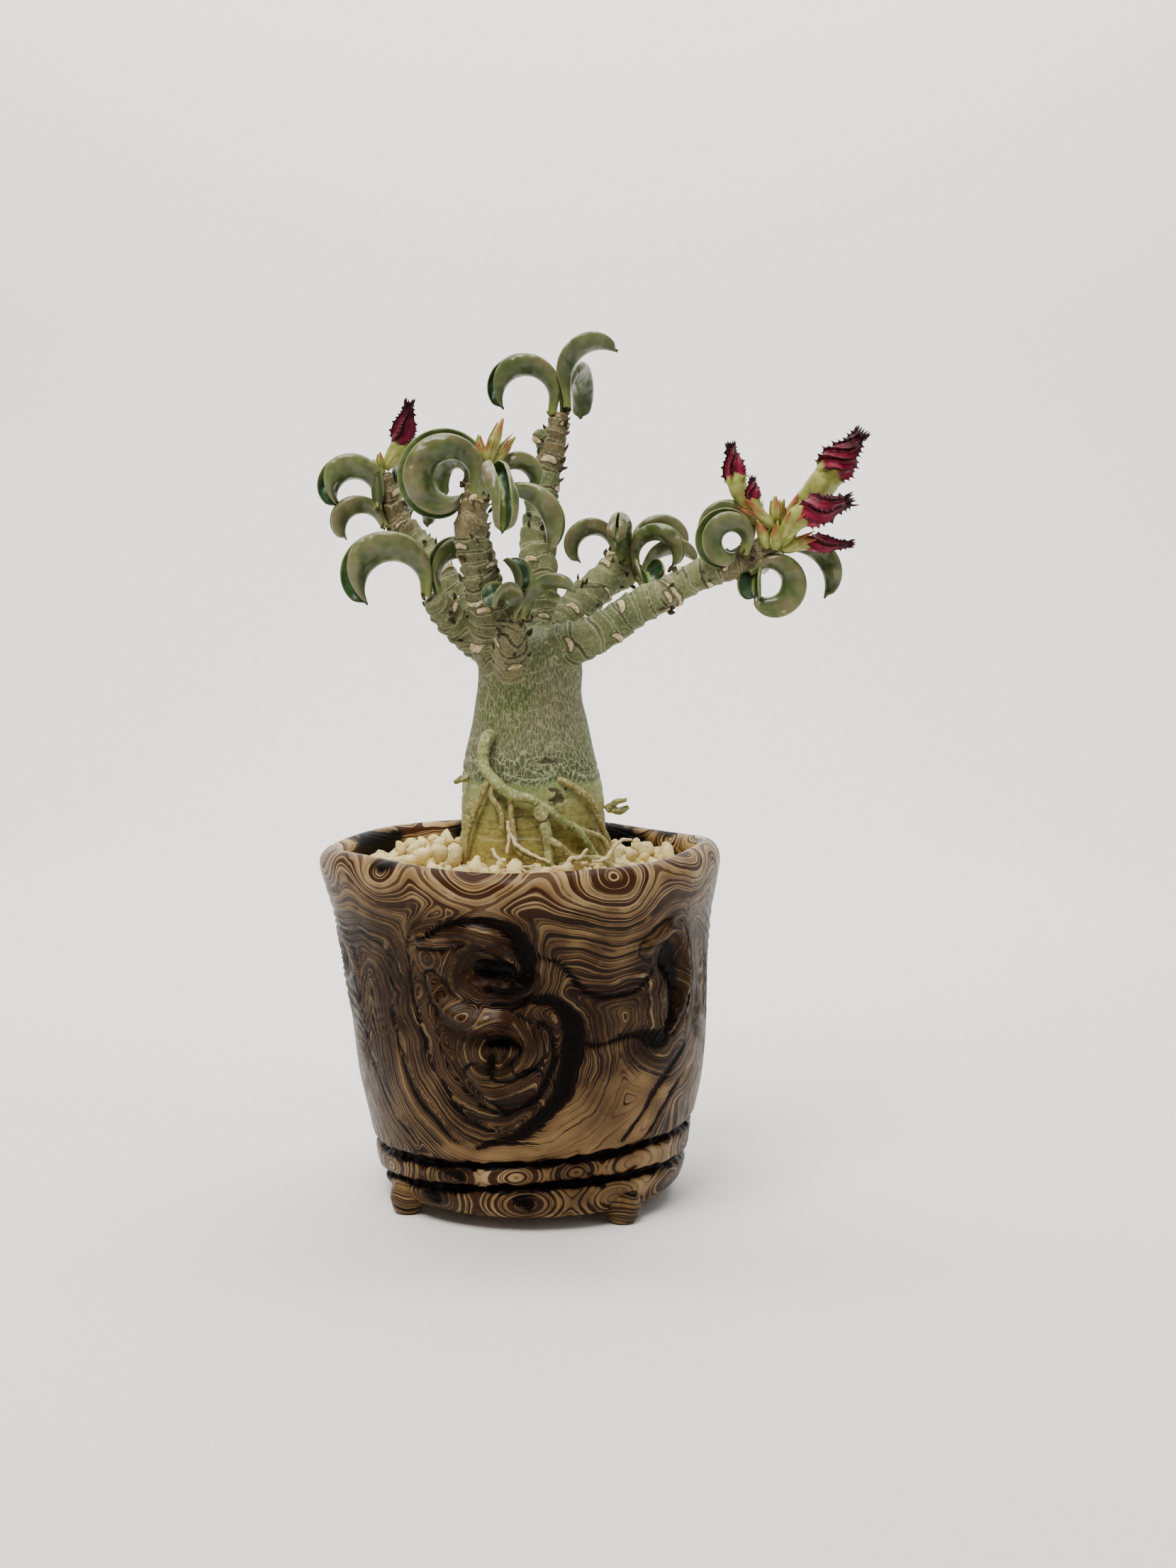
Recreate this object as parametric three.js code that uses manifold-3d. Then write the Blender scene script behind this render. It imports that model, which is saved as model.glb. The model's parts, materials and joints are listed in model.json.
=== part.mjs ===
// A desert rose (Adenium) with a swollen trunk, growing in pumice in a small hand-built pot.
// Millimetres, +Z up. The pot stands on three feet at z = 0.
// The plant is seen from the front by somebody who looks along +Y, with +X to the right.
import * as THREE from "three";
import { mergeVertices } from "three/addons/utils/BufferGeometryUtils.js";
import Module from "manifold-3d";

const wasm = await Module();
wasm.setup();

// Driving dimensions of the pot
const rimRadius = 51.1; // outside of the rolled lip
const rimHeight = 91;
const lipThickness = 5.7;
const baseRadius = 36.5;
const baseHeight = 3.4; // underside of the pot above the surface it stands on
const floorHeight = 9; // top of the pot's floor
const drainRadius = 5.5;
const rimLean = -3.1; // the rim's centre stands this far to the left of the base's centre
const footCircle = 37;
const footAngles = [214, 309, 82]; // degrees round the pot, seen from above, 0 at +X
const footRadius = { sole: 2.8, top: 5.4 };
const footTop = 8.4;
const potColumns = 32;
const wallRadius = 46; // of the middle of the wall, which turns an angle there into a distance

// Driving dimensions of the plant and its soil
const clearance = 0.3; // gap between pieces that touch
const soilAtWall = 84.6;
const soilAtTrunk = 86.6;
const pebbleRadius = { small: 3.8, large: 4.7 };
const pebbleRings = [38.6, 30.4, 23.6];
const pebblePitch = 10.4;
const pebbleLimit = 44.4; // no pebble reaches further out than this, just short of the wall
const pebbleLongest = 1.32; // half the longest side of a pebble, as a share of its size
const ridgeSpacing = 6; // distance between the ring wrinkles of a branch
const ridgeHeight = 0.05; // of the branch's radius
const leafHalfThickness = 0.42;
const midribHalfWidth = 0.55;
const bladeBulge = { least: 0.6, share: 0.12, gapeShare: 0.5 }; // how far each half of a blade swells
const foldOpening = { atStalk: 0.6, atTip: 1.5 }; // of a leaf's gape

const rad = THREE.MathUtils.degToRad;
const smooth = THREE.MathUtils.smoothstep;
const lerp = THREE.MathUtils.lerp;
const vec = (x, y, z) => new THREE.Vector3(x, y, z);

// Turns a list of rings, each with the same number of points, into one closed solid. The sides named
// in "crossed" are split along their other diagonal, so that both faces of a blade are split alike.
function loft(rings, crossed = []) {
  const sides = rings[0].length;
  const points = rings.flat();
  const faces = [];
  const quad = (a, b, c, d) => faces.push(a, b, c, a, c, d);
  for (let row = 0; row < rings.length - 1; row++) {
    for (let side = 0; side < sides; side++) {
      const next = (side + 1) % sides;
      const low = row * sides;
      if (crossed.includes(side)) quad(low + next, low + sides + next, low + sides + side, low + side);
      else quad(low + side, low + next, low + sides + next, low + sides + side);
    }
  }
  for (const [row, reversed] of [[0, true], [rings.length - 1, false]]) {
    const centre = points.length;
    points.push(rings[row].reduce((sum, p) => sum.add(p), vec(0, 0, 0)).divideScalar(sides));
    for (let side = 0; side < sides; side++) {
      const a = row * sides + side;
      const b = row * sides + ((side + 1) % sides);
      faces.push(centre, reversed ? b : a, reversed ? a : b);
    }
  }
  return solidFrom(points, faces);
}

function solidFrom(points, faces) {
  const geometry = new THREE.BufferGeometry().setFromPoints(points);
  geometry.setIndex(faces);
  return solidOf(geometry);
}

function solidOf(geometry) {
  const bare = geometry.index ? geometry : geometry.clone();
  for (const name of ["normal", "uv"]) bare.deleteAttribute(name);
  const merged = mergeVertices(bare, 1e-4);
  const made = new wasm.Manifold(new wasm.Mesh({
    numProp: 3,
    vertProperties: merged.attributes.position.array,
    triVerts: new Uint32Array(merged.index.array),
  }));
  return made;
}

const joined = (solids) => solids.reduce((whole, next) => whole.add(next));

// Drops the scraps that a cut leaves, and keeps the main body.
function mainBody(solid) {
  const bodies = solid.decompose();
  return bodies.reduce((a, b) => (b.volume() > a.volume() ? b : a));
}

// A small repeatable random generator.
function randomFrom(seed) {
  let state = seed;
  return () => {
    state = (state * 16807) % 2147483647;
    return state / 2147483647;
  };
}

// Rings of points round a path. Each stop is [x, y, z, radius].
function tubeRings(stops, { sides, step, shape = () => 1, grow = 0 }) {
  const curve = new THREE.CatmullRomCurve3(stops.map(([x, y, z]) => vec(x, y, z)), false, "centripetal");
  const length = curve.getLength();
  const count = Math.max(1, Math.round(length / step));
  const rings = [];
  let normal = null;
  for (let i = 0; i <= count; i++) {
    const u = i / count;
    const t = curve.getUtoTmapping(u);
    const place = curve.getPoint(t);
    const along = curve.getTangent(t);
    const slot = Math.min(stops.length - 2, Math.floor(t * (stops.length - 1)));
    const radius = lerp(stops[slot][3], stops[slot + 1][3], t * (stops.length - 1) - slot);
    if (!normal) normal = vec(-along.z, 0.3, along.x);
    normal.addScaledVector(along, -normal.dot(along)).normalize();
    const side = vec().crossVectors(along, normal);
    const ring = [];
    for (let k = 0; k < sides; k++) {
      const turn = (k / sides) * Math.PI * 2;
      const reach = radius * shape(u * length, turn, i) + grow;
      ring.push(place.clone()
        .addScaledVector(normal, reach * Math.cos(turn))
        .addScaledVector(side, reach * Math.sin(turn)));
    }
    rings.push(ring);
  }
  return rings;
}

const tube = (stops, options) => loft(tubeRings(stops, options));

// The pot: one wall grown from a profile, out from under the base, up, over the lip and down inside.
const potCentreX = (z) => 0.3 + rimLean * (z / rimHeight) ** 2;

// Heights of the two carved grooves that leave a rope-like band between them and one below.
const upperGroove = (turn) => 17.9 + 2.8 * Math.cos(turn);
const lowerGroove = (turn) => 8.8 + 2.2 * Math.cos(turn) + 3.0 * Math.max(0, -Math.sin(turn));

// Carved knots and swells of the wall: place (degrees, height), size across and up, and depth.
const knots = [
  { turn: -100, z: 66, across: 11, up: 9, depth: 1.2 },
  { turn: -103, z: 68.5, across: 6, up: 5, depth: -3.4 },
  { turn: -99, z: 47.5, across: 12, up: 9, depth: 1.1 },
  { turn: -98, z: 47, across: 6, up: 5, depth: -3.2 },
  { turn: -117, z: 70, across: 4, up: 4, depth: 0.7 },
  { turn: -40, z: 63.5, across: 9, up: 12, depth: 1.2 },
  { turn: -40, z: 63.5, across: 4.5, up: 7, depth: -3.6 },
  { turn: 28, z: 42, across: 10, up: 9, depth: 1.0 },
  { turn: 28, z: 42, across: 5, up: 4.5, depth: -3.0 },
  { turn: 84, z: 60, across: 12, up: 10, depth: 1.2 },
  { turn: 86, z: 61, across: 5, up: 5, depth: -3.2 },
  { turn: 148, z: 38, across: 10, up: 11, depth: 1.1 },
  { turn: 150, z: 39, across: 5, up: 6, depth: -3.0 },
];

function knotRelief(turn, z) {
  let height = 0;
  for (const knot of knots) {
    const around = Math.atan2(Math.sin(turn - rad(knot.turn)), Math.cos(turn - rad(knot.turn)));
    const across = (around * wallRadius) / knot.across;
    const up = (z - knot.z) / knot.up;
    height += knot.depth * Math.exp(-across * across - up * up);
  }
  return height;
}

// How far the hand-shaped rim bulges and dips round its edge, fading out towards the base.
function rimWave(turn, z) {
  const share = smooth(z, 40, rimHeight);
  return {
    out: share * (0.9 * Math.sin(4 * turn) + 0.7 * Math.sin(3 * turn)),
    up: smooth(z, 76, rimHeight) * (0.7 * Math.cos(3 * turn + 1.1) + 0.4 * Math.cos(5 * turn)),
  };
}

// Profile rows: radius and height, and which groove the row follows, if any.
const outerRows = [
  { r: baseRadius, z: baseHeight },
  { r: 38.2, z: 5.2 },
  { r: 39.2, offset: -1.7, groove: lowerGroove },
  { r: 37.9, offset: 0, groove: lowerGroove },
  { r: 39.9, offset: 1.8, groove: lowerGroove },
  { r: 40.6, offset: -2.2, groove: upperGroove },
  { r: 39.0, offset: 0, groove: upperGroove },
  { r: 41.4, offset: 1.6, groove: upperGroove },
  { r: 43.0, z: 26 },
  { r: 44.2, z: 32 },
  { r: 44.9, z: 37.5 },
  { r: 45.4, z: 42.5 },
  { r: 45.7, z: 47.5 },
  { r: 46.1, z: 53.5 },
  { r: 46.6, z: 59 },
  { r: 47.2, z: 64.5 },
  { r: 47.7, z: 69 },
  { r: 48.4, z: 74 },
  { r: 50.1, z: 81 },
  { r: rimRadius, z: 86 },
  { r: rimRadius - 0.3, z: 88.4 },
  { r: rimRadius - 1.6, z: 90.2 },
  { r: rimRadius - 3.4, z: rimHeight },
];
const innerRows = [
  { r: rimRadius - lipThickness, z: 88.6 },
  { r: 45.6, z: 82 },
  { r: 41.6, z: 60 },
  { r: 38.2, z: 30 },
  { r: 33, z: floorHeight },
];

function potRing(row, inside = 0) {
  const ring = [];
  for (let k = 0; k < potColumns; k++) {
    const turn = (k / potColumns) * Math.PI * 2;
    const z = row.groove ? row.groove(turn) + row.offset : row.z;
    const wave = rimWave(turn, z);
    const carved = outerRows.includes(row) && z < 80 ? knotRelief(turn, z) : 0;
    const reach = row.r + wave.out + carved - inside;
    ring.push(vec(potCentreX(z) + reach * Math.cos(turn), reach * Math.sin(turn), z + wave.up));
  }
  return ring;
}

function makePot() {
  const wall = loft([...outerRows, ...innerRows].map((row) => potRing(row)));
  const feet = footAngles.map((angle) => {
    const x = footCircle * Math.cos(rad(angle));
    const y = footCircle * Math.sin(rad(angle));
    const inward = 0.93; // the foot leans in as it rises into the wall
    const stops = [
      [x, y, 0, footRadius.sole],
      [x, y, 1.2, footRadius.sole + 0.9],
      [x * 0.99, y * 0.99, 4, footRadius.top - 0.6],
      [x * inward, y * inward, footTop, footRadius.top],
    ];
    return loft(stops.map(([cx, cy, z, r]) => flatRing(cx, cy, z, r, 12)));
  });
  const drain = loft([2, floorHeight + 3].map((z) => flatRing(potCentreX(0), 0, z, drainRadius, 12)));
  return joined([wall, ...feet]).subtract(drain);
}

function flatRing(x, y, z, radius, sides) {
  const ring = [];
  for (let k = 0; k < sides; k++) {
    const turn = (k / sides) * Math.PI * 2;
    ring.push(vec(x + radius * Math.cos(turn), y + radius * Math.sin(turn), z));
  }
  return ring;
}

// The plant's body. Stops are x, y, z and radius.
const trunk = [
  [0, 0, 46, 6],
  [0, 0, 52, 11],
  [0, 0, 62, 16],
  [0, 0, 76, 19],
  [0, 0, 86, 19.2],
  [0.6, 0, 95, 18.6],
  [0.6, 0, 102, 18.3],
  [0.3, 0, 111, 17.2],
  [0.2, 0, 119, 15.4],
  [-0.2, 0, 126, 13.8],
  [-0.2, 0, 131, 13.2],
  [0, 0, 136, 13.2],
  [0, 0.5, 140.5, 12.0],
  [0, 1, 144, 8.5],
  [0, 1, 146, 4],
];
const branches = {
  farLeft: [
    [-4, 3, 135, 6.5], [-9, 10, 142, 5.6], [-17, 18, 151, 5.0], [-21, 20, 155, 4.7],
    [-27, 22, 163, 4.3], [-32, 24, 169, 3.9], [-35.5, 25, 173, 3.5], [-37.5, 24, 180.5, 2.5],
    [-38.8, 23, 185.5, 2.0],
  ],
  lowLeft: [
    [-4, -1, 134, 6], [-10.5, -2, 141, 5.1], [-17, -8, 146.5, 4.3], [-20.5, -11, 150, 3.9],
    [-23.5, -14, 154, 3.1],
  ],
  centre: [
    [-5, -4, 132, 6.5], [-8.5, -8, 141, 5.5], [-10.5, -14, 153, 4.8], [-12.3, -17, 162.5, 4.6],
    [-13.7, -19, 170, 4.3], [-13.4, -19, 175, 3.8], [-12.5, -19, 180, 3.3], [-11, -19, 184.5, 2.4],
  ],
  tall: [
    [2, 3, 135, 7], [2.9, 8, 142, 6], [2, 11, 149.5, 5.4], [1.7, 14, 161, 4.9], [1.8, 16, 170, 4.6],
    [2.8, 18, 180, 4.1], [5.2, 20, 190, 3.4], [7.4, 22, 201, 2.5],
  ],
  tallStub: [[4.6, 19.5, 187, 2.2], [3.3, 20, 192.5, 2.1], [1.3, 19, 196.5, 1.8]],
  frontStub: [
    [-3, -7, 133, 5.5], [-4.2, -14, 139.5, 4.5], [-4.1, -17, 143, 4.0], [-4.2, -19, 147, 3.6],
    [-4.2, -20, 150, 3.0],
  ],
  rightBack: [
    [2, 4, 137, 6], [9, 11, 147, 5.1], [14.5, 15, 153.5, 4.7], [19.5, 18, 158, 4.5],
    [22.5, 20, 161, 4.3], [24.3, 21, 164, 3.4],
  ],
  rightBackKnob: [[21.5, 19.5, 158.5, 3.8], [24.5, 19, 159, 3.4], [26.5, 18, 160.2, 2.2]],
  longRight: [
    [1, -3, 137, 7], [9, -7, 141.5, 5.8], [17.5, -9, 145, 5.0], [25.5, -11, 150.5, 4.5],
    [34, -12, 155, 4.2], [42.5, -13, 159.5, 4.0], [49.5, -14, 162, 3.6], [55, -14, 164.5, 3.1],
    [60, -14.5, 168, 2.4],
  ],
};

// Roots that left the bark above the soil, each a path down the front of the trunk.
const roots = [
  [
    [-9, -9, 119.5, 1.5], [-10.4, -14.1, 119, 1.6], [-11.2, -15.0, 116, 1.5], [-11, -16.2, 112, 1.4],
    [-8.6, -17.8, 109, 1.3], [-5, -19.4, 106, 1.3], [0.3, -20.2, 104.5, 1.2], [4.3, -20.0, 102.3, 1.2],
    [8.3, -19.0, 99, 1.1], [12, -17.4, 96.3, 1.1], [15, -15.4, 92, 1.0], [16.8, -14.4, 88.5, 1.0],
    [17.2, -14.6, 82, 0.9],
  ],
  [[-9.6, -16, 110, 0.9], [-10.6, -16.6, 107.5, 0.8], [-13.4, -15.0, 101, 0.8], [-15.2, -14.0, 95.5, 0.7],
    [-17.2, -13.2, 83, 0.7]],
  [[-8.6, -17.2, 108.5, 0.8], [-9.3, -17.2, 105, 0.7], [-7, -18.8, 101.5, 0.7], [-6.5, -19.2, 96.5, 0.6]],
  [[-4.6, -18.9, 106, 0.8], [-4.2, -19.6, 100, 0.7], [-3.4, -20.2, 95, 0.7], [-2.2, -21.0, 91.2, 0.7],
    [3.7, -23.2, 89.4, 0.6]],
  [[3.2, -16, 101, 2.0], [3.6, -20.0, 99.4, 2.0], [4.4, -21.2, 96.5, 1.5], [5.2, -21.6, 92.5, 1.3],
    [5, -22.4, 89.5, 1.1], [7.4, -23.4, 84, 1.0]],
  [[5.2, -21.8, 94.5, 1.0], [7.2, -22.8, 93.4, 1.0], [11, -22.2, 90.4, 0.9], [19, -20.4, 89.2, 0.8],
    [22.5, -19.6, 84, 0.8]],
  [[7, -15, 109, 0.9], [9.2, -16.9, 108.2, 0.9], [12.6, -15.4, 106, 0.9], [15.2, -13.6, 103.5, 0.9],
    [17.4, -11.6, 98, 0.8], [19.8, -9.6, 92.5, 0.8], [21.4, -9.2, 83, 0.8]],
  [[11.5, -17.2, 96.8, 0.9], [14.0, -15.6, 95.8, 0.8], [18.4, -12.6, 93.4, 0.8], [21.6, -11.6, 84, 0.8]],
  [[16, -2, 98.5, 1.6], [19.4, -2, 99.6, 1.3], [23.2, -2, 101.2, 1.0]],
];

// The ring wrinkles of a branch: each station in turn stands out and in.
const wrinkled = (distance, turn, station) => 1 + ridgeHeight * (station % 2 ? 1 : -1);

// The bark's slow swells, which keep the trunk from being a plain turned form.
const swollen = (distance, turn) =>
  1 + 0.018 * Math.cos(3 * turn + distance / 14) + 0.012 * Math.cos(5 * turn - distance / 9);

function makePlantBody(grow) {
  const stem = tube(trunk, { sides: 18, step: 7, shape: swollen, grow });
  const limbs = Object.values(branches)
    .map((stops) => tube(stops, { sides: 7, step: ridgeSpacing / 2, shape: wrinkled, grow }));
  const strands = roots.map((stops) => tube(stops, { sides: 5, step: 4, grow }));
  return joined([stem, ...limbs, ...strands]);
}

// An angular grain of pumice: a block with its corners knocked in, turned any way round.
function solidStone(size, random) {
  const block = new THREE.BoxGeometry(1, 1, 1).deleteAttribute("normal").deleteAttribute("uv");
  const stone = mergeVertices(block);
  const corners = stone.getAttribute("position");
  for (let k = 0; k < corners.count; k++) {
    const corner = vec().fromBufferAttribute(corners, k).normalize();
    corner.multiplyScalar(size * lerp(0.85, 1.2, random()));
    corners.setXYZ(k, corner.x, corner.y, corner.z);
  }
  stone.scale(1.1, lerp(0.8, 1, random()), 0.85);
  return stone.rotateX(random() * Math.PI).rotateY(random() * Math.PI).rotateZ(random() * Math.PI);
}

// Pumice: a filling with a top of single pebbles, larger than life, sunk in to half their height.
function makeSubstrate(plantSpace) {
  const random = randomFrom(41);
  const filling = loft([
    { ...innerRows[4], z: floorHeight + clearance },
    innerRows[3],
    innerRows[2],
    { ...innerRows[1], z: 80 },
    { r: 45.4, z: soilAtWall },
    { r: 24, z: soilAtTrunk },
  ].map((row) => potRing(row, clearance + 0.4)));
  const pebbles = [];
  for (const ring of pebbleRings) {
    const count = Math.round((2 * Math.PI * ring) / pebblePitch);
    for (let k = 0; k < count; k++) {
      const size = lerp(pebbleRadius.small, pebbleRadius.large, random());
      const turn = ((k + 0.5 * random()) / count) * Math.PI * 2 + ring;
      const out = Math.min(ring + 1.4 * (random() - 0.5), pebbleLimit - pebbleLongest * size);
      const level = lerp(soilAtTrunk, soilAtWall, smooth(out, 20, 43));
      const stone = solidStone(size, random);
      const x = potCentreX(level) + out * Math.cos(turn);
      stone.translate(x, out * Math.sin(turn), level + 0.3 * random());
      pebbles.push(solidOf(stone));
    }
  }
  return mainBody(joined([filling, ...pebbles]).subtract(plantSpace));
}

// A leaf is folded along its midrib and arched over backwards. It leaves the branch at "root",
// leans towards "heading" (degrees, seen from above) from "rise" degrees off the vertical,
// and turns through "curl" degrees by its tip, after a straight "stalk" of 3 mm or what it says,
// sooner with a "bend" under 1. "width" is from the midrib to the margin, and "gape" says how far
// the two halves stand apart.
const leaves = {
  leaf_far_left_1: {
    root: [-41, 22, 176.5], heading: 183, length: 21.5,
    rise: 2, curl: 205, width: 6.4, gape: 0.16,
  },
  leaf_far_left_2: {
    root: [-38.6, 22.5, 171.5], heading: 190, length: 17.5,
    rise: 40, curl: 165, width: 4.6, gape: 0.2,
  },
  leaf_far_left_3: {
    root: [-40.3, 19.8, 176], heading: 100, length: 9.5,
    rise: -4, curl: 25, width: 2, gape: 0.2,
  },
  leaf_far_left_4: {
    root: [-33.5, 27.5, 174], heading: 60, length: 14,
    rise: 50, curl: 135, width: 3.4, gape: 0.3,
  },
  leaf_low_left_1: {
    root: [-25.5, -14.5, 154], heading: 180, length: 29,
    rise: 8, curl: 200, width: 7.4, gape: 0.14,
  },
  leaf_low_left_2: {
    root: [-22, -12, 154.5], heading: 35, length: 22,
    rise: -8, curl: 190, width: 5, gape: 0.16,
  },
  leaf_centre_1: {
    root: [-13.6, -20.8, 178], heading: 183, length: 30, stalk: 5,
    rise: 0, curl: 300, width: 8.4, gape: 0.14,
  },
  leaf_centre_2: {
    root: [-14, -15.5, 179], heading: 130, length: 20,
    rise: 10, curl: 190, width: 5, gape: 0.25,
  },
  leaf_centre_3: {
    root: [-10.2, -22.6, 178], heading: 298, length: 28, stalk: 1, bend: 0.6,
    rise: 5, curl: 178, width: 5.4, gape: 0.45,
  },
  leaf_centre_4: {
    root: [-8.6, -18.2, 177.5], heading: 352, length: 24, stalk: 1, bend: 0.6,
    rise: 40, curl: 150, width: 5, gape: 0.2,
  },
  leaf_centre_5: {
    root: [-8.6, -15.6, 180.5], heading: 15, length: 16,
    rise: 25, curl: 165, width: 4, gape: 0.2,
  },
  leaf_centre_6: {
    root: [-15.4, -15.4, 181.6], heading: 150, length: 7,
    rise: -8, curl: 60, width: 1.6, gape: 0.2,
  },
  leaf_tall_1: {
    root: [5.2, 21, 200.5], heading: 178, length: 27, stalk: 4,
    rise: 0, curl: 200, width: 5.4, gape: 0.15,
  },
  leaf_tall_2: {
    root: [9.4, 20.6, 202.5], heading: 5, length: 24, stalk: 7,
    rise: 3, curl: 112, width: 4.8, gape: 0.4,
  },
  leaf_tall_3: {
    root: [8.8, 24.3, 201], heading: 75, length: 27,
    rise: 8, curl: 190, width: 5.4, gape: 0.5,
  },
  leaf_front_1: {
    root: [-4.2, -22.8, 149], heading: 215, length: 10.5,
    rise: 0, curl: 190, width: 3.8, gape: 0.6,
  },
  leaf_front_2: {
    root: [-3.4, -18.2, 152.3], heading: 150, length: 12,
    rise: -12, curl: 70, width: 3.4, gape: 0.5,
  },
  leaf_front_3: {
    root: [-0.2, -17.4, 148.8], heading: 330, length: 8,
    rise: 10, curl: 70, width: 2.6, gape: 0.5,
  },
  leaf_front_4: {
    root: [-1.2, -20.5, 149], heading: 355, length: 17,
    rise: 22, curl: 100, width: 3.4, gape: 0.3,
  },
  leaf_right_back_1: {
    root: [21.6, 20, 163], heading: 184, length: 20,
    rise: 10, curl: 205, width: 4.1, gape: 0.2,
  },
  leaf_right_back_2: {
    root: [23.6, 16.6, 162], heading: 268, length: 18,
    rise: 0, curl: 150, width: 4.6, gape: 0.5,
  },
  leaf_right_back_3: {
    root: [26.4, 22.5, 163], heading: 8, length: 20.5,
    rise: 15, curl: 150, width: 4, gape: 0.2,
  },
  leaf_right_back_4: {
    root: [27.4, 16.6, 160.5], heading: 342, length: 21,
    rise: 0, curl: 205, width: 4, gape: 0.2,
  },
  leaf_right_back_5: {
    root: [28.6, 18.2, 159.6], heading: 0, length: 17,
    rise: 42, curl: 90, width: 3.8, gape: 0.3,
  },
  leaf_right_back_6: {
    root: [28.2, 17, 157.4], heading: 285, length: 12,
    rise: 60, curl: 115, width: 4.2, gape: 0.5,
  },
  leaf_right_back_7: {
    root: [26.4, 24.6, 163], heading: 60, length: 7,
    rise: 20, curl: 60, width: 1.6, gape: 0.2,
  },
  leaf_long_right_1: {
    root: [54.4, -18.1, 164.2], heading: 194, length: 25,
    rise: -4, curl: 300, width: 5.8, gape: 0.14,
  },
  leaf_long_right_2: {
    root: [54, -10.6, 166], heading: 172, length: 20,
    rise: -4, curl: 230, width: 4.6, gape: 0.2,
  },
  leaf_long_right_3: {
    root: [58.8, -11, 164], heading: 2, length: 23.5,
    rise: 68, curl: 130, width: 4.8, gape: 0.2,
  },
  leaf_long_right_4: {
    root: [54.6, -14.4, 160.2], heading: 352, length: 23,
    rise: 68, curl: 250, width: 5, gape: 0.16,
  },
  leaf_far_left_5: {
    root: [-35.6, 26.6, 177.5], heading: 78, length: 19,
    rise: 10, curl: 170, width: 4.4, gape: 0.3,
  },
  leaf_long_right_6: {
    root: [59.6, -11.2, 166.6], heading: 84, length: 21,
    rise: 20, curl: 165, width: 4.6, gape: 0.3,
  },
  leaf_long_right_5: {
    root: [58.6, -9.4, 160.6], heading: 240, length: 11,
    rise: 100, curl: 130, width: 3.6, gape: 0.5,
  },
};

// How the blade widens from its stalk to beyond the middle and rounds off at the tip.
const widestAt = 0.62;
function bladeShare(s) {
  if (s < widestAt) return 0.18 + 0.82 * (0.5 - 0.5 * Math.cos((Math.PI * s) / widestAt)) ** 0.8;
  return 0.18 + 0.82 * (1 - ((s - widestAt) / (1 - widestAt)) ** 2.2) ** 0.7;
}

// The direction of the midrib, in radians from the vertical, at a distance along the leaf.
function leafAngle(leaf, distance) {
  const stalk = leaf.stalk ?? 3;
  const share = Math.max(0, distance - stalk) / (leaf.length - stalk);
  return rad(leaf.rise + leaf.curl * share ** (leaf.bend ?? 1));
}

const bladeInside = [3, 4]; // the sides of a leaf's ring that face into its fold

function leafRings(leaf, grow) {
  const outward = vec(Math.cos(rad(leaf.heading)), Math.sin(rad(leaf.heading)), 0);
  const up = vec(0, 0, 1);
  const across = vec().crossVectors(up, outward);
  const stations = Math.round(lerp(5, 7, smooth(leaf.length, 10, 24)));
  const substeps = 6;
  const place = vec(...leaf.root);
  const rings = [];
  const thick = leafHalfThickness + grow;
  for (let i = 0; i <= stations; i++) {
    const s = i / stations;
    const angle = leafAngle(leaf, s * leaf.length);
    const back = up.clone().multiplyScalar(Math.sin(angle)).addScaledVector(outward, -Math.cos(angle));
    const width = leaf.width * bladeShare(s);
    const opening = leaf.gape * lerp(foldOpening.atStalk, foldOpening.atTip, s);
    const spread = midribHalfWidth + width * opening;
    const bulge = bladeBulge.least + width * (bladeBulge.share + bladeBulge.gapeShare * opening);
    const at = (out, side) => place.clone().addScaledVector(back, out).addScaledVector(across, side);
    rings.push([
      at(-thick, 0),
      at(width * 0.5, bulge + thick),
      at(width + grow, spread + thick),
      at(width + grow, spread - thick),
      at(thick * 1.2, 0),
      at(width + grow, thick - spread),
      at(width + grow, -spread - thick),
      at(width * 0.5, -bulge - thick),
    ]);
    for (let k = 0; k < substeps && i < stations; k++) {
      const reach = leaf.length / stations / substeps;
      const turn = leafAngle(leaf, leaf.length * s + (k + 0.5) * reach);
      place.addScaledVector(up, reach * Math.cos(turn)).addScaledVector(outward, reach * Math.sin(turn));
    }
  }
  return rings;
}

// A flower bud: a green tube in its five sepals, and the twisted crimson petals it carries.
const buds = {
  bud_far_left: {
    tube: [[-38.4, 23.2, 187], [-36.6, 23.6, 189.8], [-34.6, 24, 193]], tip: [-31.9, 23, 204], girth: 3.3,
  },
  bud_long_right_1: {
    tube: [[58.4, -12.6, 171.2], [54.6, -12, 175.5], [51.4, -12, 181.5]], tip: [50, -10, 191.5], girth: 2.6,
  },
  bud_long_right_2: {
    tube: [[60, -16.2, 171.2], [57, -16.6, 174], [55.3, -16.2, 177.6]], tip: [54.9, -16, 183.2], girth: 1.7,
  },
  bud_long_right_3: {
    tube: [[62.4, -14, 170.4], [67.5, -15, 176.5], [73, -16, 183]], tip: [81, -18, 193.8], girth: 4.1,
  },
  bud_long_right_4: {
    tube: [[62.4, -17.6, 168.8], [64, -20, 171.4], [66.5, -22.5, 174]],
    tip: [77.5, -26.5, 177.6], girth: 3.4,
  },
  bud_long_right_5: {
    tube: [[62.6, -15.4, 165.6], [65, -16, 166.6], [68, -16.5, 167.3]], tip: [79.4, -18, 167.2], girth: 2.0,
  },
};

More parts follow.
